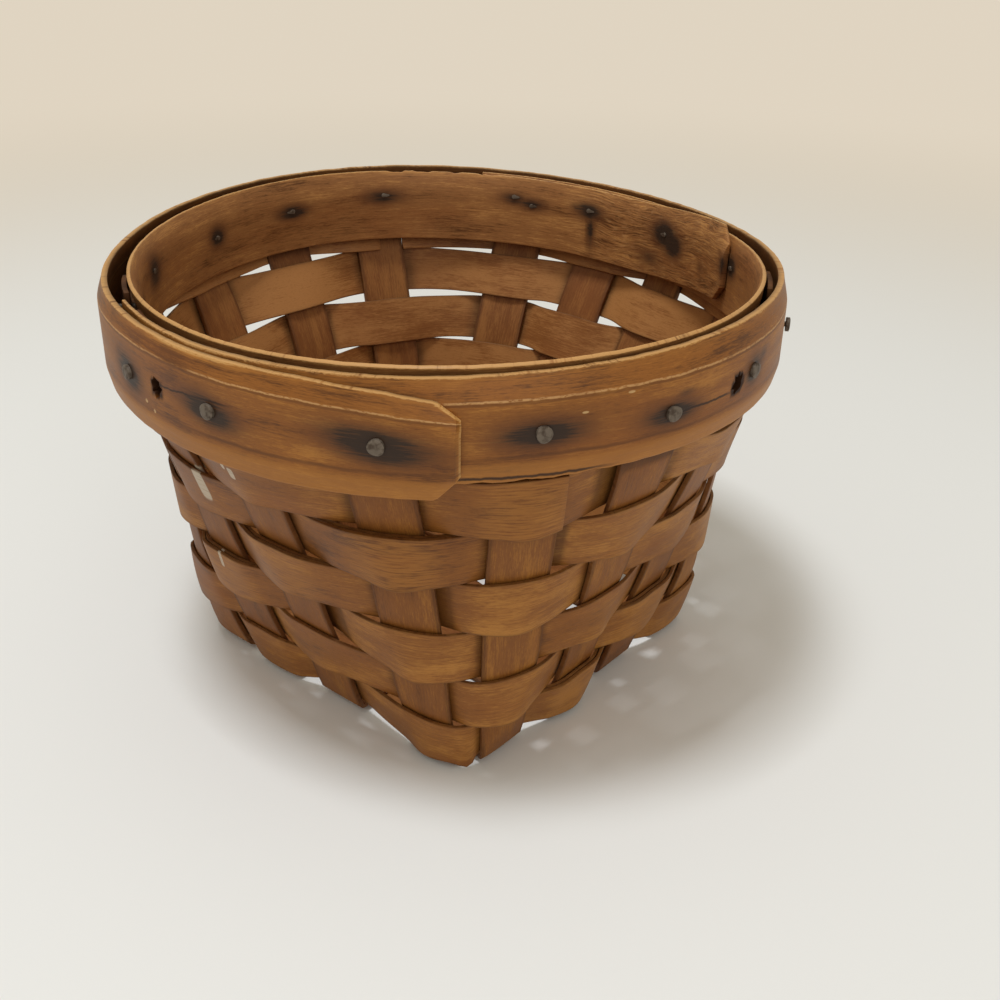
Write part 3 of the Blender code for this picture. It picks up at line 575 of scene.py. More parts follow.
def make_weaver(row, chance, bows):
    """A flat strip woven round the wall, which laps over its own start below the rim."""
    lapped = row < ROW_COUNT
    start = LAP_STARTS[row]
    end = start + COUNT + (LAP_UPRIGHTS if lapped else 0)
    if row == VISIBLE_LAP_ROW:
        end -= 1
    knots, offsets, bellies, lows, highs, tones = [], [], [], [], [], []
    drift = [chance.uniform(-0.25, 0.25) for _ in range(COUNT)]
    shades = [chance.uniform(-0.13, 0.13) for _ in range(COUNT)]
    own_shade = chance.uniform(-0.05, 0.05)

    def add_knot(knot, weave, belly, shift, drifts):
        number, _, share = knot
        low, high = row_edges_at(row, number, share, weave)
        place = number % COUNT
        knots.append(knot)
        offsets.append(ply_offset(number, share, weave, start, lapped))
        bellies.append(belly)
        lows.append(low + shift[0] + drifts[0])
        highs.append(high + shift[1] + drifts[1] + chance.uniform(-0.1, 0.1))
        tones.append(own_shade + shades[place] + PAINTED_LIGHT.get(place, 0.0))

    for number in range(start, end + 1):
        place, following = number % COUNT, (number + 1) % COUNT
        side = 1 if goes_outside(number, row) else -1
        strands = (-1, 0, 1)
        if number == start:
            strands = (0, 1)
        elif number == end and row != VISIBLE_LAP_ROW:
            strands = (-1, 0) if lapped else (-1,)
        shift = EDGE_SHIFTS.get((row, place), (0.0, 0.0))
        for strand in strands:
            at_hump = lapped and strand == 0
            belly = bows[row][place] * (1 if side > 0 else -0.4) * FLATTER.get(place, 1.0)
            sag = 0.6 if at_hump and side > 0 else 0.0
            drifts = ((drift[place] - sag) * (0 if row == 0 else 1), drift[place])
            add_knot((number, strand, 0.0), side, belly if at_hump else 0.0, shift, drifts)
        if number < end:
            next_shift = EDGE_SHIFTS.get((row, following), (0.0, 0.0))
            between = [(first + second) / 2 for first, second in zip(shift, next_shift)]
            add_knot((number, 1, 0.5), 0.0, 0.0, between, (0.0, 0.0))
    middle_height = (lows[4] + highs[4]) / 2
    line = [wall_point(knot_azimuth(knot, middle_height), middle_height) for knot in knots]
    lengths = running_lengths(line)
    tables = []
    for across in ACROSS:
        share = (across + 1) / 2
        heights = [low + (high - low) * share for low, high in zip(lows, highs)]
        tables.append((heights, [knot_azimuth(k, h) for k, h in zip(knots, heights)]))
    steps = round(lengths[-1] / WEAVER_POINT_STEP)
    columns, pushed, shown = [], [], []
    for step in range(steps + 1):
        s = lengths[-1] * step / steps
        offset = curve_through(lengths, offsets, s)
        belly = curve_through(lengths, bellies, s)
        pushed.append(offset + belly / 2)
        shown.append(curve_through(lengths, tones, s))
        column = []
        for across, (heights, azimuths) in zip(ACROSS, tables):
            height = curve_through(lengths, heights, s)
            azimuth = curve_through(lengths, azimuths, s)
            cup = 0.12 * (across * across - 0.4)
            loose = belly * (0.62 - 0.5 * across)
            column.append(settle(wall_point(azimuth, height)
                                 + wall_normal(azimuth, height) * (offset + loose - cup)))
        columns.append(column)
    name = "top_row_splint" if row == ROW_COUNT else f"row_{row + 1}_splint"
    piece = lay_splint(name, columns, [across * HALF_WEAVER_WIDTH for across in ACROSS],
                       WEAVER_THICKNESS, chance)

    # Painted shade: the top row dark where it lies between the hoops, the other rows dark along
    # their long edges and where they dive behind an upright.
    def dirt(column, row, outside):
        if not lapped:
            return 0.9 * smooth_step(ACROSS[row] + 1) if not outside else 0.9
        seen = pushed[column] if outside else -pushed[column]
        edge = 0.65 * smooth_step((abs(ACROSS[row]) - 0.88) / 0.12)
        return max(0.6 * smooth_step((-0.8 - seen) / 0.6), edge)

    def wear(column, row, outside):
        seen = pushed[column] if outside else -pushed[column]
        return 0.45 * smooth_step((seen - 1.2) / 2.2)

    # Tone along the weaver with the painted light of the uprights on one side; outside, each lower
    # row a little lighter; the inside face painted lighter, standing in for light inside the
    # basket.
    def tone(column, row_across, outside):
        return shown[column] + (0.02 * (5 - row) if outside else 0.32)

    paint(piece, len(columns), dirt=dirt, wear=wear, tone=tone, outer=on_outside)
    return piece


# ---- Hoops ----

# Rows of points across each hoop, as heights on it
OUTER_ROWS = (0.0, 0.5, 1.2, 2.0, 3.0, 4.0, 5.0, 6.5, 8.0, 9.5, 11.0, 12.5, 14.0, 15.5, 17.0,
              18.5, 19.6, 20.0, 20.4, 21.5, 22.5, 23.5, 24.5, 25.4, 26.0)
INNER_ROWS = (0.0, 0.6, 1.5, 3.0, 4.5, 6.0, 7.5, 9.0, 10.5, 12.0, 13.5, 15.0, 16.5, 18.0, 19.5,
              20.5, 21.5, 22.5, 23.0, 23.5)
OUTER_STEP, INNER_STEP = 1.25, 1.3
CREASE_ROW = 20.0
ABOVE_CREASE = OUTER_HOOP_HEIGHT - CREASE_ROW
OUTER_SPAN = OUTER_LAP_END + 360 - OUTER_LAP_START
INNER_SPAN = INNER_LAP_END + 360 - INNER_LAP_START


def outer_hoop_radius(turned):
    own = RIM_RADIUS - OUTER_HOOP_THICKNESS
    rise = smooth_step((turned - (360 - OUTER_LAP_RISE)) / OUTER_LAP_RISE)
    return own + (OUTER_HOOP_THICKNESS + SPLINT_GAP) * rise


def inner_hoop_radius(turned):
    own = WALL_RIM_RADIUS - HALF_HOOP_SPACE - INNER_HOOP_THICKNESS
    rise = smooth_step((turned - (INNER_LAP_END - INNER_LAP_START)) / INNER_LAP_RISE)
    return own - (INNER_HOOP_THICKNESS + SPLINT_GAP) * (1 - rise)


def stain_at(degrees, height, marks, tilt=0.0):
    """Strength of the dark stains round the nails at a place on the rim."""
    total = 0.0
    for azimuth, level, (along, across, strength) in marks:
        aside = ((degrees - azimuth + 180) % 360 - 180) * OUTER_DEGREE
        away = math.hypot(aside / along, (height - level + tilt * aside) / across)
        total = max(total, strength * (0.55 * math.exp(-away ** 2) + 0.45 * math.exp(-1.6 * away)))
    return total


def bend_hoop(name, thickness, start, span, degree, step, places_at, chance):
    """Bends a strip round the rim, past its own start.

    places_at gives, for the degrees turned and the raggedness there, the radius and
    each row's height, lean, share of the thickness and place across the grain.
    """
    steps = round(span * degree / step)
    rough = [chance.uniform(-1, 1) for _ in range(steps + 3)]
    columns, along, azimuths, levels, shares, across = [], [], [], [], [], []
    for number in range(steps + 1):
        turned = span * number / steps
        azimuth = math.radians(start + turned)
        out, up = out_of_round(azimuth, HOOP_BOTTOM)
        radius, places = places_at(turned, sum(rough[number:number + 3]) / 3)
        heights, leans, thick, marks = zip(*places)
        columns.append([Vector(((radius + out + lean) * math.cos(azimuth),
                                (radius + out + lean) * math.sin(azimuth), height + up))
                        for height, lean in zip(heights, leans)])
        along.append(turned * degree)
        azimuths.append(start + turned)
        levels.append(heights)
        shares.append(thick)
        across.append(marks)
    piece = strip(name, columns, along, list(zip(*across)))
    thicken(piece, thickness, offset=1.0, shares=[share for row in zip(*shares) for share in row])
    return piece, azimuths, levels


def make_outer_hoop(chance):
    def places_at(turned, ragged):
        to_end = (OUTER_SPAN - turned) * OUTER_DEGREE
        cut = max(0.0, OUTER_LAP_CLIP - to_end)
        droop = OUTER_LAP_DROOP * min(max((turned - 360) / (OUTER_SPAN - 360), 0.0), 1.0)
        covered = 0.55 + 0.45 * smooth_step(turned / 25)
        crease = curve_through(*CREASE, turned)
        torn = rise_and_fall(turned, 62, 4, 88, 5)
        at_front = rise_and_fall(turned, 35, 20, 125, 25)
        narrowed = curve_through(*LAP_NARROWS, turned) if turned > 360 else 0.0
        top = OUTER_HOOP_HEIGHT - 0.5 * at_front - narrowed
        lean = 0.6 * smooth_step((turned - 58) / 15) + 0.8 * at_front
        places = []
        for row in OUTER_ROWS:
            even = row * crease / CREASE_ROW
            if row > CREASE_ROW:
                even = crease + (row - CREASE_ROW) * (top - crease) / ABOVE_CREASE
            if row < 1:
                even += (0.12 + 0.4 * torn) * ragged * (1 - row)
            if row > 25:
                even += 0.14 * ragged
            placed = cut + even / OUTER_HOOP_HEIGHT * (OUTER_HOOP_HEIGHT - 2 * cut)
            share = covered * (0.35 + 0.65 * min(1.0, to_end / 1.2))
            if row < 4:
                share *= 0.66 + 0.34 * row / 4
            if row > CREASE_ROW:
                share *= 0.62 + 0.38 * (OUTER_HOOP_HEIGHT - row) / ABOVE_CREASE
            places.append((HOOP_BOTTOM + placed - droop, -lean * smooth_step((row - 19) / 7),
                           share, row + placed - even))
        return outer_hoop_radius(turned), places

    piece, azimuths, levels = bend_hoop("outer_rim_hoop", OUTER_HOOP_THICKNESS, OUTER_LAP_START,
                                        OUTER_SPAN, OUTER_DEGREE, OUTER_STEP, places_at, chance)
    marks = [(azimuth, height, outside) for azimuth, height, _, outside, _ in NAILS] + OUTER_SMEARS
    last = len(azimuths) - 1
    clip_start = OUTER_LAP_END + 360 - OUTER_LAP_CLIP / OUTER_DEGREE

    def stain(column, row, outside):
        tilt = 0.15 if azimuths[column] > 510 else 0.0
        return stain_at(azimuths[column], levels[column][row], marks, tilt) if outside else 0.0

    def wear(column, row, outside):
        height = OUTER_ROWS[row]
        fuzzy = rise_and_fall(azimuths[column], 530, 8, 556, 8)
        at_end = 1.7 if column == last else 0.0
        if azimuths[column] > clip_start and not 0 < height < 25:
            at_end = 1.8 if height else 1.2
        return max((0.35 + 1.1 * fuzzy) * smooth_step((height - 23.6) / 2),
                   0.3 * smooth_step((2 - height) / 2), at_end)

    # Painted light on the part of the hoop at the right, painted shade on the band above the
    # crease, which faces up to the lamps, and lighter along the bottom edge.
    def tone(column, row, outside):
        height = OUTER_ROWS[row]
        return (0.12 * rise_and_fall(azimuths[column], 235, 30, 325, 20)
                + 0.08 * smooth_step((6 - height) / 3) - 0.14 * smooth_step((height - 19.6) / 1.5))

    # Painted shade on the inner face of the outer hoop, in the gap between the two hoops.
    paint(piece, len(azimuths), stain=stain, wear=wear, tone=tone,
          dirt=lambda column, row, outside: 0.0 if outside or column > last - 4 else 0.75)
    return piece


def make_inner_hoop(chance):
    def chipped_at(turned):
        return rise_and_fall(turned, 66, 3, 98, 3)

    def places_at(turned, ragged):
        cut = max(0.0, INNER_LAP_CLIP - turned * INNER_DEGREE)
        lift = INNER_LAP_LIFT * (1 - smooth_step(turned / INNER_LIFT_SPAN))
        azimuth = (INNER_LAP_START + turned) % 360
        pinch = curve_through(PINCH_PLACES, PINCHES, azimuth)
        rise = curve_through(PINCH_PLACES, RISES, azimuth)
        places = []
        for row in INNER_ROWS:
            even = row
            if row > 22:
                even -= (0.1 + 0.5 * chipped_at(turned)) * abs(ragged) * (row - 22)
            placed = cut + even / INNER_HOOP_HEIGHT * (INNER_HOOP_HEIGHT - 2 * cut)
            top_share = max(0.0, (row - 14.5) / 9)
            height = BASKET_HEIGHT - INNER_HOOP_HEIGHT + placed + lift + rise * top_share
            share = 1.0 if row < 19.5 else 0.55 + 0.45 * (INNER_HOOP_HEIGHT - row) / 4
            places.append((height, pinch * top_share ** 2, share, placed))
        return inner_hoop_radius(turned), places

    piece, azimuths, levels = bend_hoop("inner_rim_hoop", INNER_HOOP_THICKNESS, INNER_LAP_START,
                                        INNER_SPAN, INNER_DEGREE, INNER_STEP, places_at, chance)
    marks = [(azimuth, height, inside) for azimuth, height, _, _, inside in NAILS] + INNER_SMEARS

    def stain(column, row, outside):
        return 0.0 if outside else stain_at(azimuths[column], levels[column][row], marks)

    def sawn(column, row, outside):
        turned = azimuths[column] - INNER_LAP_START
        return 0.0 if outside else 1 - 0.85 * smooth_step((turned - 38) / 20)

    def wear(column, row, outside):
        chipped = chipped_at(azimuths[column] - INNER_LAP_START)
        return (0.3 + 0.6 * chipped) * smooth_step((INNER_ROWS[row] - 21.5) / 1.5)

    # Painted shade on the outer face of the inner hoop below its top, in the gap between the two
    # hoops.
    def dirt(column, row, outside):
        return 0.75 * smooth_step((20.5 - INNER_ROWS[row]) / 2) if outside else 0.0

    paint(piece, len(azimuths), stain=stain, sawn=sawn, wear=wear, dirt=dirt)
    return piece


def cut_hole(hoop, place, chance):
    """Cuts a torn hole through the hoop and paints shade on its edge."""
    degrees, height, half_width, half_height, lean = place
    azimuth = math.radians(degrees)
    out, up = out_of_round(azimuth, HOOP_BOTTOM)
    sides = 18
    deselect_all()
    bpy.ops.mesh.primitive_cylinder_add(vertices=sides, radius=1.0, depth=9.0)
    cutter = bpy.context.object
    turn = (Matrix.Rotation(azimuth, 4, "Z")
            @ Matrix.Translation((RIM_RADIUS + out, 0, height + up))
            @ Matrix.Rotation(math.pi / 2, 4, "Y") @ Matrix.Rotation(math.radians(lean), 4, "Z"))
    jags = [chance.uniform(0.68, 1.28) for _ in range(sides)]
    for vertex in cutter.data.vertices:
        x, y, z = vertex.co
        jag = jags[vertex.index // 2 % sides]
        torn = Vector((x * half_height * jag, y * half_width * jag, z))
        vertex.co = (turn @ torn) * MM + BASKET_PLACE
    for mark in cutter.data.uv_layers[0].uv:
        mark.vector = (0.0, 10 * MM)
    add_modifier(hoop, "BOOLEAN", operation="DIFFERENCE", solver="EXACT", object=cutter)
    apply_modifiers(hoop)
    bpy.data.objects.remove(cutter)
    middle = turn.translation * MM + BASKET_PLACE
    # Painted shade on the wall of the hole and round it.
    dirt = hoop.data.attributes["dirt"].data
    for vertex in hoop.data.vertices:
        if (vertex.co - middle).length < (half_height + 1.6) * MM:
            away = turn.inverted() @ ((vertex.co - BASKET_PLACE) / MM)
            if math.hypot(away.x / half_height, away.y / half_width) < 1.3:
                dirt[vertex.index].value = 1.25


# ---- Nails ----

HEAD_RADIUS, HEAD_HEIGHT, HEAD_OVERHANG, HEAD_SUNK = 2.0, 1.0, 1.25, 0.2
CROWN_INSET, CROWN_HEIGHT = 0.45, 0.14
SHANK_LENGTH, POINT_LENGTH, POINT_SHARES = 12, 1.2, (0.34, 0.24)


def rim_faces(azimuth):
    """Outer and inner face of the rim at an azimuth in radians, laps included."""
    degrees = math.degrees(azimuth) % 360
    turned = (degrees - OUTER_LAP_START) % 360
    if turned < OUTER_LAP_END - OUTER_LAP_START:
        turned += 360
    out, _ = out_of_round(azimuth, HOOP_BOTTOM)
    outer = outer_hoop_radius(turned) + OUTER_HOOP_THICKNESS + out
    return outer, inner_hoop_radius((degrees - INNER_LAP_START) % 360) + out


def select_faces(piece, wanted):
    """Opens a piece for editing, its faces selected by the height of their normals."""
    bpy.ops.object.mode_set(mode="OBJECT")
    for face in piece.data.polygons:
        face.select = wanted(face.normal.z)
    bpy.ops.object.mode_set(mode="EDIT")


def nail_pattern():
    """A flat nail head with its top edge rounded, its underside at the origin."""
    deselect_all()
    bpy.ops.mesh.primitive_cylinder_add(
        vertices=20, radius=HEAD_RADIUS * MM, depth=HEAD_HEIGHT * MM,
        location=(0, 0, HEAD_HEIGHT / 2 * MM))
    piece = bpy.context.object
    piece.name = "nail_pattern"
    bpy.ops.object.transform_apply(location=True, rotation=True, scale=True)
    bpy.ops.object.mode_set(mode="EDIT")
    bpy.ops.mesh.select_mode(type="FACE")
    bpy.ops.mesh.select_all(action="DESELECT")
    select_faces(piece, lambda up: up < -0.5)
    bpy.ops.mesh.inset(thickness=HEAD_OVERHANG * MM, depth=0.0)
    for length in (SHANK_LENGTH, POINT_LENGTH):
        bpy.ops.mesh.extrude_region_move(
            TRANSFORM_OT_translate={"value": (0, 0, -length * MM)})
    bpy.ops.transform.resize(value=(*POINT_SHARES, 1.0))
    select_faces(piece, lambda up: up > 0.5)
    bpy.ops.mesh.inset(thickness=CROWN_INSET * MM, depth=0.0)
    bpy.ops.transform.translate(value=(0, 0, CROWN_HEIGHT * MM))
    bpy.ops.object.mode_set(mode="OBJECT")
    return piece


def place_nail(pattern, number, place, chance):
    """A copy of the nail through the rim, its point bent over against the inner hoop."""
    degrees, height, raised, _, _ = place
    azimuth = math.radians(degrees)
    outer, inner = rim_faces(azimuth)
    _, up = out_of_round(azimuth, HOOP_BOTTOM)
    piece = pattern.copy()
    piece.data = pattern.data.copy()
    bpy.context.scene.collection.objects.link(piece)
    piece.name = piece.data.name = f"rim_nail_{number:02d}"
    head = outer + raised - HEAD_SUNK
    reach = head - inner
    wobble = [chance.uniform(-0.12, 0.12) for _ in range(3)]
    bent = chance.choice((-1, 1)) * chance.uniform(1.4, 2.1)
    turn = (Matrix.Translation(BASKET_PLACE) @ Matrix.Rotation(azimuth, 4, "Z")
            @ Matrix.Translation(Vector((head, 0, height + up)) * MM)
            @ Matrix.Rotation(math.pi / 2 + math.radians(chance.uniform(-4, 4)), 4, "Y"))
    for vertex in piece.data.vertices:
        x, y, z = (c / MM for c in vertex.co)
        if z > -0.5:
            angle = math.atan2(y, x)
            grow = (1 + wobble[0] * 0.5 * math.cos(2 * angle)
                    + wobble[1] * 0.4 * math.cos(3 * angle + 1))
            x, y = x * grow, y * grow
            z += wobble[2] * x * 0.4
        elif z > -SHANK_LENGTH - 0.5:
            z = -reach - 0.1 - 0.25 * (1 - y / bent)
        else:
            x, y, z = x, y + bent, -reach - 0.25 - 0.15 * y / bent
        vertex.co = turn @ (Vector((x, y, z)) * MM)
    round_edges(piece, NAIL_EDGE, 40)
    return piece


# ---- Materials ----


class Shade:
    """A socket of a material, on which plain arithmetic adds Math nodes."""

    def __init__(self, tree, socket=None):
        self.tree = tree
        self.socket = socket

    def node(self, kind, settings=None, inputs=None, output=0):
        """Adds a node of any type: its settings first, then its sockets."""
        made = self.tree.nodes.new("ShaderNode" + kind)
        for name, value in (settings or {}).items():
            setattr(made, name, value)
        for name, value in (inputs or {}).items():
            if isinstance(value, Shade):
                self.tree.links.new(value.socket, made.inputs[name])
            else:
                made.inputs[name].default_value = value
        return Shade(self.tree, made.outputs[output])

    def maths(self, operation, *values):
        return self.node("Math", {"operation": operation}, dict(enumerate(values)))

    def vector_maths(self, operation, *others, output=0):
        return self.node("VectorMath", {"operation": operation},
                         dict(enumerate((self, *others))), output)

    def __abs__(self):
        return self.maths("ABSOLUTE", self)

    def between(self, low, high):
        """Eases from 0 to 1 as the value goes from low to high."""
        return self.node("MapRange", {"interpolation_type": "SMOOTHSTEP"},
                         {"Value": self, "From Min": low, "From Max": high})

    def bump(self, distance):
        return self.node("Bump", {}, {
            "Strength": 0.5, "Distance": distance, "Height": self})

    def into(self, node, name):
        self.tree.links.new(self.socket, node.inputs[name])

    def blend(self, first, second, kind="MIX"):
        """A mix of two colours, with this value as its factor."""
        return self.node("Mix", {"data_type": "RGBA", "blend_type": kind},
                         {0: self, 6: first, 7: second}, output=2)


for operator, operation in (("add", "ADD"), ("sub", "SUBTRACT"), ("mul", "MULTIPLY"),
                            ("truediv", "DIVIDE")):
    setattr(Shade, f"__{operator}__", lambda self, other, operation=operation:
            self.maths(operation, self, other))
    setattr(Shade, f"__r{operator}__", lambda self, other, operation=operation:
            self.maths(operation, other, self))


def colour(red, green, blue):
    """A colour named as it looks on screen, 0 to 255."""
    return tuple((c / 255) ** 2.2 for c in (red, green, blue)) + (1.0,)


def new_material(name, shown):
    material = bpy.data.materials.new(name)
    material.use_nodes = True
    material.diffuse_color = shown
    tree = material.node_tree
    return material, Shade(tree), tree.nodes["Principled BSDF"]


class Wood:
    """The grain of one splint wood, and what shows on it."""

    def __init__(self, name, middle):
        self.material, self.shade, self.shader = new_material(name, middle)
        place = self.shade.node("UVMap", {"uv_map": "UVMap"})
        self.along = self.shade.node("SeparateXYZ", inputs={0: place})
        self.across = Shade(self.shade.tree, self.along.socket.node.outputs[1])

    def painted(self, name):
        return self.shade.node("Attribute", {"attribute_name": name}, output=2)

    def streaks(self, along_scale, across_scale, detail, shift=0.0, across=None):
        across = across or self.across
        stretched = self.shade.node("CombineXYZ", {}, {
            0: self.along * along_scale, 1: across * across_scale, 2: shift})
        return self.shade.node("TexNoise", {}, {
            "Vector": stretched, "Scale": 1.0, "Detail": detail, "Roughness": 0.6})

    def crack(self, start, end, width):
        """A mask of a fine crack between two places on the strip, in millimetres."""
        run = (self.along - start[0] * MM) / ((end[0] - start[0]) * MM)
        line = self.across - start[1] * MM - run * ((end[1] - start[1]) * MM)
        line = line - (self.streaks(160, 0, 3.0, 13.0) - 0.5) * 0.0016
        ends = run.between(-0.06, 0.12) * (1 - run.between(0.75, 1.05))
        return abs(line).between(width * MM, width * 0.25 * MM) * ends

    def spot(self, middle, size):
        """A mask of a spot on the strip, in millimetres."""
        aside = (self.along - middle[0] * MM) / (size[0] * MM)
        above = (self.across - middle[1] * MM) / (size[1] * MM)
        return (aside * aside + above * above).between(1.3, 0.6)

    def smudge(self, middle, size):
        """A mask of a smudge at a place in the room, in millimetres."""
        away = self.shade.node("TexCoord", output=3)
        for operation, numbers in (("SUBTRACT", middle), ("DIVIDE", size)):
            away = away.vector_maths(operation, tuple(c * MM for c in numbers))
        away = away.vector_maths("MULTIPLY", away).vector_maths("LENGTH", output=1)
        return away.between(1.2, 0.8) * self.painted("outer").between(0.3, 0.7)


def wood(name, light, middle, dark, roughness, figure=0.6, hoop_top=0.0, creased=False,
         cracks=(), spots=(), smudges=()):
    """Old splint wood: fine grain, blotches, the wear and stains on it, and painted light and
    shade.
    """
    kind = Wood(name, middle)
    sawn = kind.painted("sawn")
    bands = kind.streaks(14, 240, 3.0, 3.0)
    wander = (kind.streaks(38, 110, 2.0, 11.0) - 0.5) * (sawn * 0.006 + 0.0006)
    wavy = kind.across + wander
    fibre = kind.streaks(130, 2100, 4.0, 0.0, wavy)
    hairs = kind.streaks(480, 4300, 3.0, 17.0, wavy)
    pores = kind.streaks(700, 6500, 2.0, 7.0, wavy)
    blotches = kind.streaks(42, 85, 4.0, 5.0)
    ruddy = kind.streaks(18, 60, 2.0, 9.0)
    # The painted tone numbers carry random tone together with painted light and shade.
    value = ((fibre - 0.5) * (0.85 + sawn * 1.8) + (hairs - 0.5) * 0.75 + (bands - 0.5) * figure
             + (blotches - 0.5) * 1.2 + kind.painted("tone") + 0.5)
    worn = kind.painted("wear")
    fuzz = kind.streaks(900, 2600, 2.0, 23.0)
    saw_marks = kind.streaks(260, 1500, 3.0, 29.0, wavy).between(0.53, 0.70)
    layers = [(value.between(0.5, 0.05), dark), (value.between(0.5, 0.95), light),
              (ruddy.between(0.48, 0.72) * 0.3, colour(134, 78, 40)),
              (pores.between(0.58, 0.70) * 0.45, dark),
              (worn * fibre.between(0.30, 0.62), light),
              (worn.between(0.8, 1.5) * fuzz.between(0.28, 0.55) * 0.9, colour(198, 150, 92)),
              (sawn * saw_marks * 0.6, colour(176, 130, 84))]
    if creased:
        place = kind.across - 0.0200 - (kind.streaks(160, 0, 3.0, 13.0) - 0.5) * 0.0007
        score = kind.across - 0.0064 - (kind.streaks(35, 0, 3.0, 19.0) - 0.5) * 0.0030
        ridge = abs(place - 0.00015).between(0.00030, 0.00008) * fuzz.between(0.30, 0.52)
        # The third layer is a painted shadow: a dark line just below the crease.
        layers += [
            (kind.across.between(0.0058, 0.0042) * 0.5, light),
            (abs(score).between(0.0007, 0.0001) * bands.between(0.3, 0.55) * 0.75, dark),
            (abs(place + 0.00030).between(0.00045, 0.0001) * 0.5, dark),
            (ridge * blotches.between(0.30, 0.5) * 0.8, colour(192, 146, 96))]
    if hoop_top:
        frayed = kind.across + (fuzz - 0.5) * 0.0014 + (blotches - 0.5) * 0.0012
        worn_top = frayed.between((hoop_top - 0.45) * MM, (hoop_top - 0.05) * MM)
        layers.append((worn_top * 0.85, colour(190, 143, 88)))
    base = middle
    for share, tint in layers:
        base = share.blend(base, tint)
    # Painted light: outside faces tinted warmer and less blue, standing in for warmer light on
    # them.
    base = kind.painted("outer").blend(base, (1.0, 0.975, 0.62, 1.0), "MULTIPLY")
    # Painted shade: these numbers darken the wood in the gaps between parts, under the hoops, along
    # splint edges and where splints dive behind uprights.
    dirt = kind.painted("dirt") * (0.75 + (blotches - 0.5) * 1.2)
    stain = kind.painted("stain")
    soak = stain * (1.0 + (fibre - 0.5) * 1.7 + (bands - 0.5) * 1.1) * 1.58
    layers = [(dirt.between(0.0, 1.0), colour(48, 28, 17)),
              (stain.between(0.01, 0.25) * 0.25, colour(124, 68, 36)),
              (soak.maths("MINIMUM", soak, 0.93), colour(40, 34, 30))]
    layers += [(kind.crack(*crack) * 0.9, colour(46, 28, 17)) for crack in cracks]
    layers += [(kind.spot(*spot) * fibre.between(0.35, 0.55) * 0.75, colour(204, 168, 118))
               for spot in spots]
    layers += [(kind.smudge(*smudge) * fibre.between(0.22, 0.50) * 0.85, colour(192, 178, 157))
               for smudge in smudges]
    for share, tint in layers:
        base = share.blend(base, tint)
    base.into(kind.shader, "Base Color")
    kind.shader.inputs["Specular IOR Level"].default_value = 0.25
    rough = roughness + (fibre - 0.5) * 0.25 + (blotches - 0.5) * 0.2 + dirt * 0.2
    rough.into(kind.shader, "Roughness")
    height = (fibre * 0.5 + hairs * 0.5) * (1 + sawn * 1.8)
    height.bump(0.00014).into(kind.shader, "Normal")
    return kind.material


def nail_metal():
    material, shade, shader = new_material("nail iron", (0.1, 0.08, 0.07, 1))
    place = shade.node("TexCoord", output=3)
    rust = shade.node("TexNoise", {}, {"Vector": place, "Scale": 700.0, "Detail": 4.0})
    base = rust.between(0.42, 0.68).blend(colour(106, 94, 82), colour(72, 58, 46))
    base.into(shader, "Base Color")
    (rust * 0.3 + 0.42).into(shader, "Roughness")
    shader.inputs["Metallic"].default_value = 0.35
    rust.bump(0.0001).into(shader, "Normal")
    return material


# ---- Floor, light and camera ----

FLOOR_SIZE = 6.0
AMBIENT = (0.53, 0.503, 0.43, 1.0)
# Lights: name, place, size, power and tint
LIGHTS = (("ceiling light", (-0.30, 0.03, 1.25), 0.26, 9.0, (0.885, 0.945, 1.0)),
          ("front fill", (-0.9, -1.3, 0.9), 1.2, 4.5, (0.97, 0.985, 1.0)))
LENS, CAMERA_PLACE = 44.618, Vector((-258.52, -228.49, 230.75)) * MM
# Heading, tilt down and roll of the camera in degrees
CAMERA_TURNS = (38.9954, 28.3029, -1.2548)


def make_floor():
    deselect_all()
    bpy.ops.mesh.primitive_plane_add(size=FLOOR_SIZE, location=(0, 0, 0))
    floor = bpy.context.object
    floor.name = "floor"
    material, shade, shader = new_material("pale floor", colour(228, 226, 223))
    away = shade.node("TexCoord", output=3).vector_maths("LENGTH", output=1)
    base = away.between(0.30, 1.1).blend(colour(229, 227, 224), colour(224, 212, 192))
    base.into(shader, "Base Color")
    shader.inputs["Roughness"].default_value = 0.7
    seen, mirrored = (shade.node("LightPath", output=ray)
                      for ray in ("Is Camera Ray", "Is Glossy Ray"))
    glow = shade.node("Emission", {}, {"Color": colour(223, 211, 192)})
    lit = shade.node("MixShader", {}, {
        0: seen.maths("MAXIMUM", seen, mirrored) * away.between(0.25, 0.95),
        1: Shade(shade.tree, shader.outputs[0]), 2: glow})
    lit.into(shade.tree.nodes["Material Output"], "Surface")
    floor.data.materials.append(material)


def make_light():
    world = bpy.data.worlds.new("soft daylight")
    bpy.context.scene.world = world
    world.use_nodes = True
    tree = world.node_tree
    shade = Shade(tree)
    camera_ray = shade.node("LightPath")
    tint = camera_ray.blend(AMBIENT, (1.0, 1.0, 1.0, 1.0))
    tint.into(tree.nodes["Background"], "Color")
    tree.nodes["Background"].inputs["Strength"].default_value = 1.0
    for name, place, size, power, tint in LIGHTS:
        data = bpy.data.lights.new(name, "AREA")
        data.size = size
        data.energy = power
        data.color = tint
        lamp = bpy.data.objects.new(name, data)
        bpy.context.scene.collection.objects.link(lamp)
        lamp.location = place
        aim = Vector((0, 0, 0.06)) - lamp.location
        lamp.rotation_euler = aim.to_track_quat("-Z", "Y").to_euler()


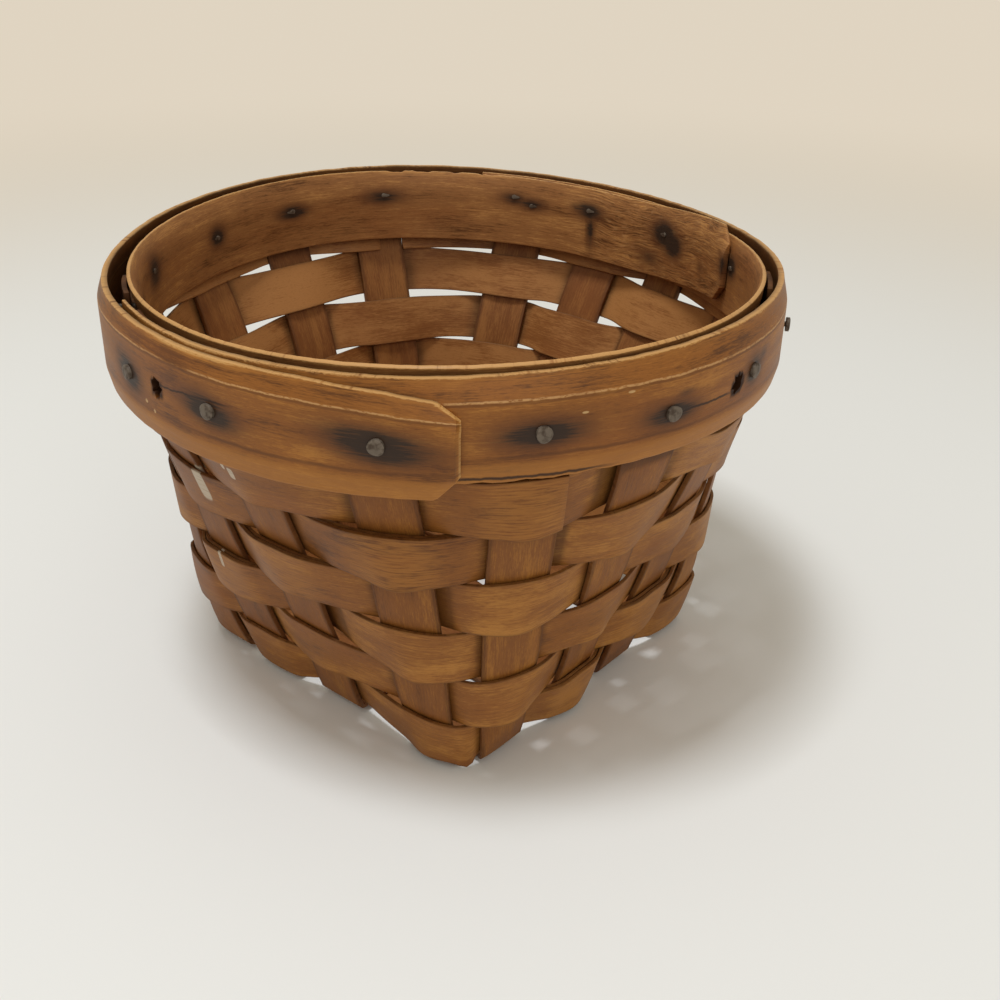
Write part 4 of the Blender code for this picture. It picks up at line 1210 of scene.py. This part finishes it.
def make_camera():
    data = bpy.data.cameras.new("camera")
    data.sensor_width = 36.0
    data.lens = LENS
    camera = bpy.data.objects.new("camera", data)
    bpy.context.scene.collection.objects.link(camera)
    camera.location = BASKET_PLACE + CAMERA_PLACE
    heading, down, roll = (math.radians(turn) for turn in CAMERA_TURNS)
    view = Vector((math.cos(heading) * math.cos(down), math.sin(heading) * math.cos(down),
                   -math.sin(down)))
    turn = view.to_track_quat("-Z", "Y").to_matrix() @ Matrix.Rotation(-roll, 3, "Z")
    camera.rotation_euler = turn.to_euler()
    bpy.context.scene.camera = camera


# ---- Making ----

make_camera()
make_light()
make_floor()

# Pale residue on the walls: middle in the room and size, the first also on a stake
SMUDGES = [((-81.4, 18.1, 76.6), (4.5, 2.1, 5.6)), ((-87.9, -4.0, 89.8), (3.0, 1.1, 1.7)),
           ((-89.2, -1.3, 92.6), (3.0, 0.7, 2.4)), ((-70.2, -40.5, 52.4), (3.0, 3.4, 1.3)),
           ((-71.2, 24.7, 47.0), (3.0, 0.7, 3.0))]
# On the outer hoop: places along it and up it. Cracks: start, end and width. Spots:
# middle and size.
CRACKS = [((629, 13.6), (656, 15.4), 0.36), ((160, 10.6), (181, 10.4), 0.5),
          ((104, 1.3), (145, 0.9), 0.65), ((300, 8.2), (332, 8.8), 0.22),
          ((420, 13.5), (446, 13.0), 0.22), ((520, 6.2), (548, 6.8), 0.22)]
SPOTS = [((135.2, 15.9), (0.8, 0.3)), ((146.3, 19.0), (0.9, 0.3)),
         ((623.3, 7.7), (0.6, 0.5)), ((626.8, 6.3), (0.5, 0.5))]

stake_wood = wood("stake wood", colour(152, 101, 56), colour(124, 77, 43),
                  colour(86, 52, 26), 0.52, smudges=SMUDGES[:1])
weaver_wood = wood("weaver wood", colour(168, 115, 67), colour(131, 82, 44),
                   colour(90, 54, 27), 0.48, smudges=SMUDGES)
outer_wood = wood("outer hoop wood", colour(171, 114, 53), colour(138, 86, 39),
                  colour(90, 55, 28), 0.46, figure=1.1, hoop_top=OUTER_HOOP_HEIGHT,
                  creased=True, cracks=CRACKS, spots=SPOTS)
inner_wood = wood("inner hoop wood", colour(184, 130, 75), colour(148, 99, 58),
                  colour(96, 61, 34), 0.50, figure=1.0, hoop_top=INNER_HOOP_HEIGHT)
iron = nail_metal()

chance = random.Random(41)
for name in STAKES:
    piece = make_stake(name, chance)
    round_edges(piece, SPLINT_EDGE)
    finish(piece, [name], stake_wood)

bows = [[chance.uniform(1.0, 2.2) for _ in range(COUNT)] for _ in range(ROW_COUNT + 1)]
for row in range(ROW_COUNT + 1):
    piece = make_weaver(row, chance, bows)
    round_edges(piece, SPLINT_EDGE)
    node = "weaver_top" if row == ROW_COUNT else f"weaver_{row + 1}"
    finish(piece, [node], weaver_wood)

outer_hoop = make_outer_hoop(chance)
round_edges(outer_hoop, OUTER_HOOP_EDGE)
for place in WORN_HOLES:
    cut_hole(outer_hoop, place, chance)
smooth_by_angle(outer_hoop)
finish(outer_hoop, ["outer_hoop"], outer_wood)
inner_hoop = make_inner_hoop(chance)
round_edges(inner_hoop, INNER_HOOP_EDGE)
finish(inner_hoop, ["inner_hoop"], inner_wood)

pattern = nail_pattern()
for number, place in enumerate(NAILS, 1):
    piece = place_nail(pattern, number, place, chance)
    finish(piece, [f"nail_{number:02d}"], iron)
bpy.data.objects.remove(pattern)

bpy.context.scene.view_settings.view_transform = "Standard"
